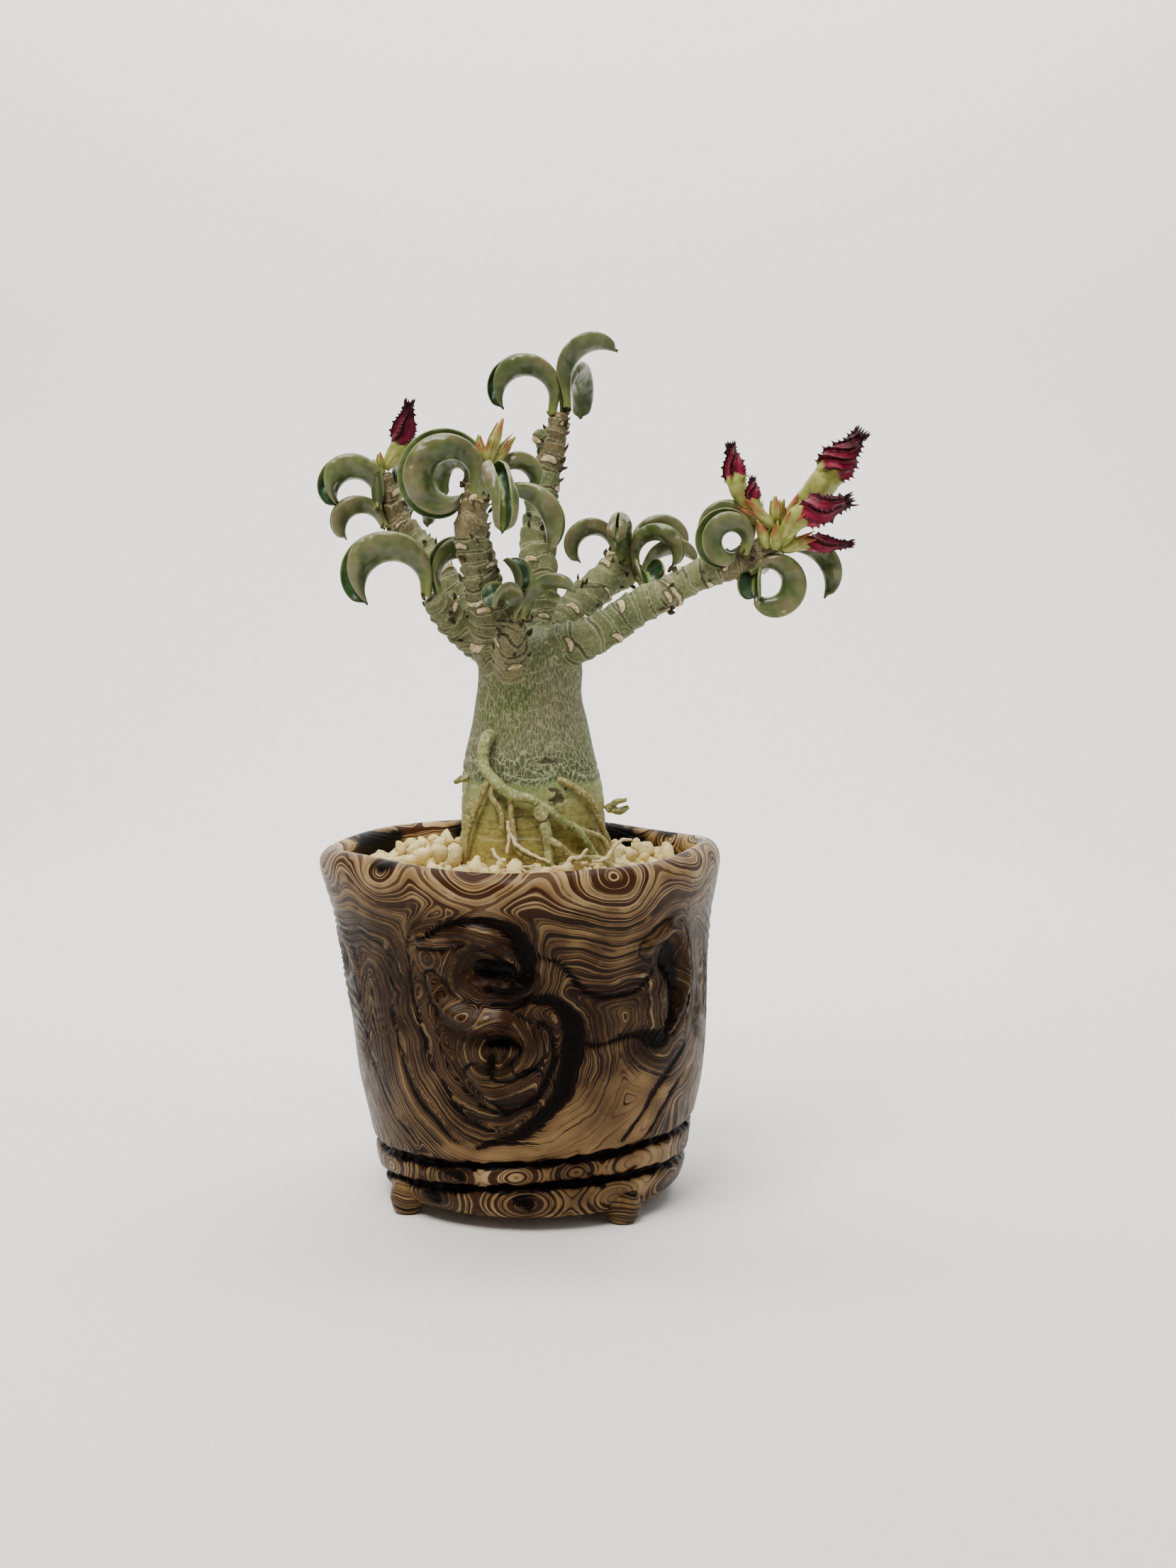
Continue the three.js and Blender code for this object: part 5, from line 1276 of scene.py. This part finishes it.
def makeLeaf(number, name, leaf, material):
    s, places, back, across, forward = leafFrames(leaf)
    s = s[:, None]
    u = np.linspace(-1, 1, blade["across"])[None, :]
    a = np.abs(u)
    taper = 1 - 0.97 * ramp(s, 0.94, 1) ** 1.5
    peel, start = leaf["peel"]
    width = leaf["width"] * bladeShare(s) * taper * (1 - peel * ramp(s, start, start + 0.35) * (u > 0))
    opening = leaf["gape"] * mix(blade["openingAtStalk"], blade["openingAtTip"], s)
    spread = (blade["midrib"] + width * opening) * taper
    bulge = (blade["bulgeLeast"] + width * (blade["bulgeShare"] + blade["bulgeGape"] * opening)) * taper
    bulge = bulge * leaf["plump"]
    swell = (bulge - spread / 2) / 0.25 ** 0.62
    wave = lumps(np.stack(np.broadcast_arrays(s * leaf["length"], u * 3 + number * 31, 0 * s), -1), 5, 71)
    wave = wave * blade["waviness"] * a**2 * ramp(s, 0.1, 0.4)
    side = np.sign(u) * (swell * (a * (1 - a)) ** 0.62 + spread * a) + wave
    out = width * a ** 1.05 + 0.6 * wave
    thickness = blade["halfThickness"] * (1 - 0.5 * a**2) * (1 + 0.8 * ramp(-s, -0.22, 0))
    thickness = thickness * (0.35 + 0.65 * taper)
    keel = blade["keel"] * np.exp(-(a / blade["keelShare"]) ** 2) * (1 - 0.8 * s)
    facing = unit(np.stack([np.gradient(out, axis=1), -np.gradient(side, axis=1)], -1))
    pillow = np.stack(np.broadcast_arrays(s * leaf["length"], u * leaf["width"], number * 31.0 + 0 * s), -1)
    pillow = blade["puff"] * lumps(pillow, 4.2, 72) * np.sin(np.pi * np.clip(a, 0, 1)) * ramp(s, 0.12, 0.35)

    def lay(offset):
        x = side + facing[..., 0] * (offset + pillow)
        y = out + facing[..., 1] * (offset + pillow)
        tip = blade["tip"] * ramp(s, 0.96, 1) * (1 - a)
        return (places[:, None] + back[:, None] * y[..., None] + across[:, None] * x[..., None]
                + forward[:, None] * tip[..., None])

    rings = np.concatenate([lay(thickness + keel), lay(-thickness + 0.3 * keel)[:, ::-1]], axis=1)
    inner = np.concatenate([0 * u, 0 * u + 1], axis=1)
    shape = Shape("inner", "edge", "along", "sort")
    shape.loft(rings, inner=inner, edge=np.concatenate([a, a], axis=1), along=s, sort=(number * 0.618) % 1)
    return shape.make(name + "_blade", material, [name])


# Desert rose leaf, fleshy and waxy: a soft grey-olive underside with painted shade towards the midrib, a
# brown-pink blush, painted shade in its dents and painted highlights on its swells, a pale margin, and a deep
# green glossy upper side inside the fold.
def fleshyLeaf():
    material, node, place, inner, edge, along, sort = startMaterial(
        "fleshy_leaf_waxy", "inner", "edge", "along", "sort")
    wide, small, dents = (
        node("TexNoise", {"Vector": place, "Scale": 1000 / size, "Detail": detail})
        for size, detail in ((8, 2.0), (2.4, 4.0), (4.2, 1.0)))
    # painted shade: the underside darker towards the midrib and lighter towards the margin
    outward = node("Math", {"operation": "MULTIPLY_ADD", 0: wide, 1: 1.2, 2: edge})
    outward = node("MapRange", {"Value": outward, "From Min": 0.3, "From Max": 1.7})
    under = node("ValToRGB", {
        "stops": [(0.3, "#3a4722"), (0.6, "#4e5b30"), (1.0, "#6c7346")], "Fac": outward})
    # brownish pink where the sun meets the arch, more on some leaves than on others
    sunny = node("Math", {"operation": "MULTIPLY_ADD", 0: small, 1: 0.3, 2: wide})
    outside = node("MapRange", {"Value": edge, "From Min": 0.1, "From Max": 0.7})
    shy = node("MapRange", {"Value": sort, "To Min": 0.3, "To Max": 0.95})
    under = paint(node, under, [
        ((sunny, 0.54, 0.76, 1.0, outside, shy), "#6d5d47"),
        ((dents, 0.5, 0.34, 0.45), "#323d1f"),  # painted shade in the dents
        ((dents, 0.54, 0.68, 0.22), "#828860"),  # painted highlight on the swells between the dents
        ((small, 0.58, 0.74, 0.35), "#3a3d22"),  # specks
        ((edge, 0.12, 0.0, 0.3), "#7c8650"),  # midrib
        ((along, 0.24, 0.0, 0.7), "#7c8440"),  # stalk
        ((edge, 0.965, 0.99, 0.7), "#878d55"),  # margin
    ])
    # the upper side, with a paler brim that ends before the tip
    upper = node("ValToRGB", {"stops": [(0.36, "#152d18"), (0.62, "#2f4a26")], "Fac": wide})
    early = node("MapRange", {"Value": along, "From Min": 0.85, "From Max": 0.6, "To Max": 0.9})
    upper = paint(node, upper, [
        ((edge, 0.1, 0.04, 0.8), "#81903f"),
        ((edge, 0.7, 0.92, 1.0, early), "#6f7d48"),
    ])
    colour = paint(node, under, [(inner, upper)])
    rough = node("MapRange", {"Value": inner, "To Min": 0.29, "To Max": 0.38})
    normal = node("Bump", {"Distance": 0.0018, "Height": dents})
    normal = node("Bump", {"Distance": 0.00012, "Height": small, "Normal": normal})
    leaf = node("BsdfPrincipled", {
        "Base Color": colour, "Roughness": rough, "IOR": 1.45, "Normal": normal, "Specular IOR Level": 0.45,
        "Coat Weight": 0.12, "Coat Roughness": 0.24,
        "Subsurface Weight": 0.05, "Subsurface Radius": (0.5, 1.0, 0.25), "Subsurface Scale": 0.001})
    node("OutputMaterial", {"Surface": leaf}, None)
    return material


leafMaterial = fleshyLeaf()
for number, (name, leaf) in enumerate(leaves.items()):
    makeLeaf(number, "leaf_" + name, leaf, leafMaterial)
print("leaves are made")


# Dried remains of old leaves: small dark scales round the leaf bases and up the young wood
driedScales = dict(seed=17, perLeaf=3, spacing=1.2, length=(1.2, 2.6), width=(0.8, 1.6))


def acrossFrom(axis):
    first = unit(np.cross(np.array([-axis[2], 0.3, axis[0]]), axis))
    return first, np.cross(axis, first)


def spoke(first, second, turn):
    return first * math.cos(turn) + second * math.sin(turn)


def addScale(shape, foot, axis, outward, length, width, lean, curve, **values):
    # a pointed scale or sepal along the axis: it leans out by "lean" and bulges out on the way by "curve"
    s = np.linspace(0, 1, 15)[:, None]
    u = np.linspace(-1, 1, 9)[None, :]
    sideways = np.cross(axis, outward)
    half = width / 2 * np.sin(np.pi * np.clip(s, 0.02, 0.98) ** 0.75) ** 0.75
    half = half * (1 - 0.55 * ramp(s, 0.55, 1)) + 0.05
    height = length * s
    away = lean * s + curve * np.sin(np.pi * s) - half * 0.55 * u**2
    middle = foot + axis * height[..., None] + outward * away[..., None] + sideways * (half * u)[..., None]
    thick = outward * (0.16 * (1 - 0.6 * u**2) * (1 - 0.7 * s))[..., None]
    rings = np.concatenate([middle + thick, (middle - thick)[:, ::-1]], axis=1)
    shape.loft(rings, along=s, edge=np.concatenate([np.abs(u), np.abs(u)], axis=1), **values)


def makeDriedScales(material):
    shape = Shape("along", "edge")
    random = np.random.RandomState(driedScales["seed"])
    places = []
    for leaf in leaves.values():
        heading = math.radians(leaf["heading"])
        for _ in range(driedScales["perLeaf"]):
            turn = heading + random.uniform(-1.4, 1.4)
            outward = np.array([math.cos(turn), math.sin(turn), 0])
            axis = unit(outward * random.uniform(0.1, 0.9) + [0, 0, 1])
            places.append((np.array(leaf["root"]) + outward * 0.5 - axis * random.uniform(0.2, 1.2), axis))
    for stops in limbs.values():
        path, _ = smoothPath(stops, driedScales["spacing"])
        tangents, normals, across = pathFrames(path[:, :3])
        for i in range(len(path) // 2, len(path) - 1):
            outward = spoke(normals[i], across[i], random.uniform(0, 2 * math.pi))
            places.append((path[i, :3] + outward * (path[i, 3] + 0.1), unit(tangents[i] + 0.6 * outward)))
    for foot, axis in places:
        outward = spoke(*acrossFrom(axis), random.uniform(0, 2 * math.pi))
        length, width = random.uniform(*driedScales["length"]), random.uniform(*driedScales["width"])
        lean, curve = random.uniform(0, 0.8), random.uniform(-0.2, 0.4)
        addScale(shape, foot, axis, outward, length, width, lean, curve)
    return shape.make("dried_leaf_bases", material)


# Dried leaf bases, papery and weathered: dark brown to black, greyer along the edges.
def driedPaper():
    material, node, place, along, edge = startMaterial("dried_leaf_base_papery", "along", "edge")
    fibre = node("TexNoise", {"Vector": place, "Scale": 1000 / 0.8, "Detail": 4.0})
    colour = node("ValToRGB", {"stops": [(0.36, "#1d140c"), (0.64, "#4c3a24")], "Fac": fibre})
    colour = paint(node, colour, [((edge, 0.7, 1.0, 0.5), "#6f5c3f"), ((along, 0.4, 1.0, 0.7), "#120c08")])
    normal = node("Bump", {"Distance": 0.0001, "Height": fibre})
    paper = node("BsdfPrincipled", {"Base Color": colour, "Roughness": 0.8, "IOR": 1.4, "Normal": normal})
    node("OutputMaterial", {"Surface": paper}, None)
    return material


makeDriedScales(driedPaper())
print("dried leaf bases are made")


# Flower buds: a green tube in its sepals and, above it, furled petals that wind round each other. turns is
# how far they wind, and green how far up the foot of the petals is still green.

buds = {
    "bud_far_left": dict(
        tube=[(-38.4, 23.2, 187), (-36.6, 23.6, 189.8), (-34.6, 24, 193)], tip=(-31.9, 23, 204),
        girth=2.9, turns=0.3, green=-0.8),
    "bud_long_right_1": dict(
        tube=[(58.4, -12.6, 171.2), (54.6, -12, 175.5), (51.4, -12, 181.5)], tip=(50, -10, 191.5),
        girth=2.6, turns=0.3, green=0.45),
    "bud_long_right_2": dict(
        tube=[(60, -16.2, 171.2), (57, -16.6, 174), (55.3, -16.2, 177.6)], tip=(54.9, -16, 183.2),
        girth=1.7, turns=0.3, green=0.1),
    "bud_long_right_3": dict(
        tube=[(62.4, -14, 170.4), (67.5, -15, 176.5), (73, -16, 183)], tip=(81, -18, 193.8),
        girth=4.1, turns=0.75, green=0.38),
    "bud_long_right_4": dict(
        tube=[(62.4, -17.6, 168.8), (64, -20, 171.4), (66.5, -22.5, 174)], tip=(77.5, -26.5, 177.6),
        girth=3.4, turns=0.3, green=0.1),
    "bud_long_right_5": dict(
        tube=[(62.6, -15.4, 165.6), (65, -16, 166.6), (68, -16.5, 167.3)], tip=(79.4, -18, 167.2),
        girth=2.0, turns=0.3, green=0.05),
}

# small buds still shut in their sepals, in groups
budClusters = {
    "buds_far_left": [
        dict(foot=(-39.6, 22.4, 187), tip=(-39.8, 22, 191.5), girth=1.1),
        dict(foot=(-40.2, 23.2, 186.6), tip=(-42, 23.8, 189.6), girth=0.9),
    ],
    "buds_centre": [
        dict(foot=(-9.9, -19.4, 187), tip=(-5.7, -19, 198.2), girth=1.7),
        dict(foot=(-8.9, -18.2, 186.6), tip=(-2.5, -17, 193.6), girth=1.5),
        dict(foot=(-11, -19.6, 186.6), tip=(-12, -20, 194), girth=1.5),
        dict(foot=(-11.2, -18.4, 186.4), tip=(-14.6, -17.4, 191.2), girth=1.2),
        dict(foot=(-9.6, -20.6, 186.4), tip=(-8.8, -22.4, 193), girth=1.3),
    ],
    "buds_long_right": [
        dict(foot=(60.6, -14.4, 172.6), tip=(60.6, -14, 179.4), girth=1.4),
        dict(foot=(61.4, -15, 172.4), tip=(62.6, -18.4, 178.4), girth=1.3),
        dict(foot=(61.2, -13.4, 172.4), tip=(62.6, -10, 177.6), girth=1.2),
        dict(foot=(58.6, -16.4, 166.4), tip=(55.8, -18.6, 173.4), girth=1.5),
        dict(foot=(60.6, -17, 166.2), tip=(61, -19.6, 173.2), girth=1.6),
        dict(foot=(62.4, -15.6, 167), tip=(67, -17.4, 172.4), girth=1.5),
        dict(foot=(59.6, -12.4, 167.6), tip=(58.4, -10.4, 174.4), girth=1.4),
    ],
}

furled = dict(petals=5, rows=84, columns=110, sepals=5, points=11)


def makeBudTube(name, bud, material):
    shape = Shape("along", "edge", "part")
    girth = bud["girth"]
    foot, middle, head = (np.array(stop, float) for stop in bud["tube"])
    beyond = head + 1.2 * unit(np.array(bud["tip"]) - head)
    stops = [(*foot, girth * 0.42), (*middle, girth * 0.64), (*head, girth * 0.85), (*beyond, girth * 0.6)]
    tube(shape, stops, 40, 0.4, lambda s, t: 1 + 0.045 * np.cos(5 * t + 0.12 * s), along=0.0, part=0)
    axis = unit(middle - foot)
    for k in range(furled["sepals"]):
        outward = spoke(*acrossFrom(axis), k / furled["sepals"] * 2 * math.pi)
        base = foot + outward * girth * 0.34 - axis * 0.4
        length = (7.2 + girth) * (0.8 + 0.35 * ((k * 0.618) % 1))
        addScale(shape, base, axis, outward, length, 1.9 + girth * 0.5, girth * 0.5, 0.45, part=1)
    return shape.make(name + "_tube_fine", material, [name + "_tube"])


def toothing(s, k):  # how far each tooth of a petal's margin stands out, from 0 to 1
    beat = s * 8.5 + k * 0.37 + 0.5 * np.sin(s * 9 + k * 2)
    saw = beat - np.floor(beat)
    return np.clip(1 - np.abs(saw - 0.62) / 0.3, 0, 1) ** 1.6


def makePetals(number, name, bud, material):
    foot, tip, girth = np.array(bud["tube"][-1], float), np.array(bud["tip"], float), bud["girth"]
    length = np.linalg.norm(tip - foot)
    axis = (tip - foot) / length
    first, second = acrossFrom(axis)
    s = np.linspace(-0.08, 1, furled["rows"])[:, None]
    turn = (np.arange(furled["columns"]) / furled["columns"] * 2 * math.pi)[None, :]
    twist = bud["turns"] * 2 * math.pi * s + 0.25 * np.sin(s * 7 + number)
    phase = (turn - twist) / (2 * math.pi) * furled["petals"]
    petal = np.floor(phase)
    f = phase - petal
    tooth = toothing(s, petal % furled["petals"])
    body = 0.88 + 1.1 * np.minimum(s, 0) + 0.2 * np.sin(np.pi * np.clip(s * 1.5, 0, 1))
    body = body - 0.5 * ramp(s, 0.35, 1)
    fold = 0.84 + 0.2 * f**1.3 + 0.07 * np.sin(3 * math.pi * f) * ramp(s, 0.1, 0.4)
    fold = mix(0.97, fold, ramp(s, 0, 0.2))
    flare = ramp(f, 0.78, 0.97) * (0.05 + 0.3 * tooth) * ramp(s, 0.04, 0.16)
    dip = 0.12 * np.exp(-((f - 0.03) / 0.05) ** 2) * ramp(s, 0, 0.2)
    place = np.stack(np.broadcast_arrays(s * length, 4 * np.cos(turn), 4 * np.sin(turn)), -1)
    fold = fold + 0.05 * ramp(s, 0.1, 0.5) * lumps(place, 1.6, 81 + number)
    reach = girth * (body * fold + flare - dip)
    sway = (0.05 * length * np.sin(s * 4 + number))[..., None]
    centre = foot + axis * (s * length)[..., None] + first * sway * ramp(s, 0, 0.3)[..., None]
    rings = centre + first * (reach * np.cos(turn))[..., None] + second * (reach * np.sin(turn))[..., None]
    # the margin value is raised where a petal runs under the next one's edge, so the dark margin colour also
    # paints the shadow there
    margin = np.maximum(f, np.where(f < 0.05, 0.9, 0))
    shape = Shape("margin", "along", "green")
    shape.loft(rings, margin=margin, along=np.maximum(s, 0), green=bud["green"])
    # dark points round the furled end
    random = np.random.RandomState(90 + number)
    endRadius = girth * 0.48
    for n in range(furled["points"]):
        angle = n / furled["points"] * 2 * math.pi + random.uniform(-0.2, 0.2)
        outward = spoke(first, second, angle)
        start = rings[-1].mean(axis=0) + outward * endRadius * 0.75 - axis * 0.8
        long = girth * random.uniform(0.15, 0.5)
        bend = first * random.uniform(-0.3, 0.3) + second * random.uniform(-0.3, 0.3)
        end = start + axis * (long + 0.8) + (outward * 0.35 + bend) * long
        middle = (start + end) / 2 + bend * 0.3
        thick = 0.11 * girth
        stops = [(*start, thick), (*middle, thick * 0.7), (*end, 0.05)]
        tube(shape, stops, 7, 0.35, margin=1.0, along=1.0, green=0)
    return shape.make(name + "_petals_fine", material, [name + "_petals"])


def makeCluster(name, buds, material):
    shape = Shape("along", "edge", "part")
    centre = np.mean([bud["foot"] for bud in buds], axis=0)
    tube(shape, [(*(centre - [0, 0, 1.6]), 1.2), (*(centre + [0, 0, 1.4]), 1.3)], 16, 0.5, along=0.1, part=1)
    for n, bud in enumerate(buds):
        foot, tip, girth = np.array(bud["foot"], float), np.array(bud["tip"], float), bud["girth"]
        length = np.linalg.norm(tip - foot)
        axis = (tip - foot) / length
        profile = [(0, 0.75), (0.25, 0.95), (0.6, 0.66), (0.93, 0.12)]
        stops = [(*(foot + axis * length * u), girth * r) for u, r in profile]
        tube(shape, stops, 20, 0.4, along=0.4, part=1)
        for k in range(furled["sepals"]):
            outward = spoke(*acrossFrom(axis), k / furled["sepals"] * 2 * math.pi + n)
            base = foot + outward * girth * 0.6 - axis * 0.3
            share = 0.62 + 0.4 * ((k * 0.618 + n * 0.31) % 1)
            lean = -girth * 0.25 + 0.5 * (k % 2)
            addScale(shape, base, axis, outward, length * share, girth * 1.5, lean, girth * 0.36, part=1)
    return shape.make(name + "_sepals", material, [name])


# Young sepals and flower tubes, thin living tissue: yellow-green with a flush of red at tips and margins,
# matt with light coming through.
def youngSepal():
    material, node, place, along, edge, part = startMaterial("young_sepal_tissue", "along", "edge", "part")
    small = node("TexNoise", {"Vector": place, "Scale": 1000 / 1.6, "Detail": 3.0})
    streak = node("TexNoise", {"Vector": place, "Scale": 1000 / 4, "Detail": 2.0})
    colour = node("ValToRGB", {"stops": [(0.36, "#9a9d4e"), (0.64, "#7a8539")], "Fac": small})
    margin = node("Math", {"operation": "MULTIPLY", 0: edge, 1: part})
    flush = node("Math", {"operation": "MULTIPLY_ADD", 0: small, 1: 0.3, 2: along})
    onTube = node("Math", {"operation": "SUBTRACT", 0: 1.0, 1: part})
    colour = paint(node, colour, [
        ((margin, 0.5, 1.0, 0.6), "#d3c27c"),
        ((flush, 0.62, 1.0, 1.0, part), "#8f3c26"),
        ((streak, 0.45, 0.7, 0.3, onTube), "#b99b6a"),
    ])
    normal = node("Bump", {"Distance": 0.00006, "Height": small})
    tissue = node("BsdfPrincipled", {
        "Base Color": colour, "Roughness": 0.5, "IOR": 1.42, "Normal": normal,
        "Subsurface Weight": 0.2, "Subsurface Radius": (0.8, 1.0, 0.3), "Subsurface Scale": 0.001})
    node("OutputMaterial", {"Surface": tissue}, None)
    return material


# Furled petals, velvety: crimson with painted pink highlights on the swells, drying to almost black along the
# toothed margins, which also paints the shadow under each lapping petal, and still green at the foot of some
# buds.
def furledPetal():
    material, node, place, margin, along, green = startMaterial(
        "furled_petal_velvet", "margin", "along", "green")
    small = node("TexNoise", {"Vector": place, "Scale": 1000 / 1.3, "Detail": 4.0})
    uneven = node("Math", {"operation": "MULTIPLY_ADD", 0: small, 1: 0.3, 2: margin})
    colour = node("ValToRGB", {"stops": [(0.36, "#470917"), (0.64, "#6c0f29")], "Fac": small})
    # painted highlight: pink on the swell of each fold, fading towards the end
    swell = node("ValToRGB", {"stops": [(0.5, 0.0), (0.72, 1.0), (0.85, 1.0), (1.0, 0.0)], "Fac": uneven})
    fading = node("MapRange", {
        "Value": along, "From Min": 0.7, "From Max": 0.2, "To Min": 0.05, "To Max": 0.75})
    swell = node("Math", {"operation": "MULTIPLY", 0: swell, 1: fading})
    # still yellow-green at the foot, further up and between the margins where the bud is green
    young = node("Math", {"operation": "MULTIPLY", 0: uneven, 1: 0.5})
    young = node("Math", {"operation": "MULTIPLY_ADD", 0: along, 1: 3.6, 2: young})
    reach = node("MapRange", {"Value": green, "To Min": 0.5, "To Max": 2.0})
    young = node("Math", {"operation": "SUBTRACT", 0: reach, 1: young})
    young = node("MapRange", {"Value": young, "From Min": -0.06, "From Max": 0.14})
    unripe = node("TexNoise", {"Vector": place, "Scale": 1000 / 1.6, "Detail": 3.0})
    unripe = node("ValToRGB", {"stops": [(0.36, "#a3a055"), (0.64, "#7f883c")], "Fac": unripe})
    # dry along the margins and towards the end, where the dark also paints the shadow under each lapping
    # margin
    dry = node("Math", {"operation": "MULTIPLY_ADD", 0: along, 1: 0.3, 2: uneven})
    dry = node("MapRange", {"Value": dry, "From Min": 1.1, "From Max": 1.24})
    dry = node("Math", {"operation": "SUBTRACT", 0: dry, 1: young, "use_clamp": True})
    colour = paint(node, colour, [
        (swell, "#8e153b"),
        (young, unripe),
        (dry, "#2a0711"),
        ((green, 0.0, -1.0, 0.7), "#2e0814"),
        ((along, 0.55, 0.95, 0.85), "#24060e"),
    ])
    normal = node("Bump", {"Distance": 0.00012, "Height": small})
    velvet = node("BsdfPrincipled", {
        "Base Color": colour, "Roughness": 0.45, "IOR": 1.4, "Normal": normal, "Specular IOR Level": 0.25,
        "Subsurface Weight": 0.06, "Subsurface Radius": (1.0, 0.3, 0.4), "Subsurface Scale": 0.001})
    node("OutputMaterial", {"Surface": velvet}, None)
    return material


sepalMaterial = youngSepal()
petalMaterial = furledPetal()
for number, (name, bud) in enumerate(buds.items()):
    makeBudTube(name, bud, sepalMaterial)
    makePetals(number, name, bud, petalMaterial)
for name, cluster in budClusters.items():
    makeCluster(name, cluster, sepalMaterial)
print("buds are made")


# Table and light: a pale sweep and soft daylight from a wide window, above and a little to the left

def makeFloor():
    half = 1.6
    rise = [(-half, 0), (0.55, 0)] + [(0.55 + 0.3 * math.sin(a), 0.3 - 0.3 * math.cos(a))
                                      for a in np.linspace(0.1, math.pi / 2, 14)] + [(0.85, 1.5)]
    points = [(x, y, z) for y, z in rise for x in (-half, half)]
    faces = [(2 * i, 2 * i + 1, 2 * i + 3, 2 * i + 2) for i in range(len(rise) - 1)]
    mesh = bpy.data.meshes.new("floor")
    mesh.from_pydata(points, [], faces)
    mesh.shade_smooth()
    material, node, place = startMaterial("pale_paper_sweep")
    fibre = node("TexNoise", {"Vector": place, "Scale": 400.0, "Detail": 3.0})
    colour = node("ValToRGB", {"stops": [(0.3, "#f2f1ee"), (0.7, "#ecebe8")], "Fac": fibre})
    paper = node("BsdfPrincipled", {"Base Color": colour, "Roughness": 0.9})
    node("OutputMaterial", {"Surface": paper}, None)
    mesh.materials.append(material)
    floor = bpy.data.objects.new("floor", mesh)
    bpy.context.scene.collection.objects.link(floor)


def addSoftLight(name, place, target, size, watts, colour):
    light = bpy.data.lights.new(name, "AREA")
    light.shape = "RECTANGLE"
    light.size, light.size_y = size
    light.energy = watts
    light.color = linear(colour)[:3]
    lamp = bpy.data.objects.new(name, light)
    lamp.location = place
    lamp.rotation_euler = (Vector(target) - Vector(place)).to_track_quat("-Z", "Y").to_euler()
    bpy.context.scene.collection.objects.link(lamp)


makeFloor()
addSoftLight("window", (-0.2, -0.4, 0.95), (0, 0, 0.1), (0.45, 0.45), 13, "#fff8ee")
addSoftLight("fill", (0.75, -0.5, 0.45), (0, 0, 0.1), (0.5, 0.8), 1.1, "#f4f6ff")
addSoftLight("backdrop", (0, 0.3, 1.1), (0, 0.9, 0.35), (1.4, 0.4), 22, "#ffffff")
world = bpy.data.worlds.new("room")
world.use_nodes = True
world.node_tree.nodes["Background"].inputs["Color"].default_value = linear("#dfe3e8")
world.node_tree.nodes["Background"].inputs["Strength"].default_value = 0.25
bpy.context.scene.world = world
print("floor and lights are set")
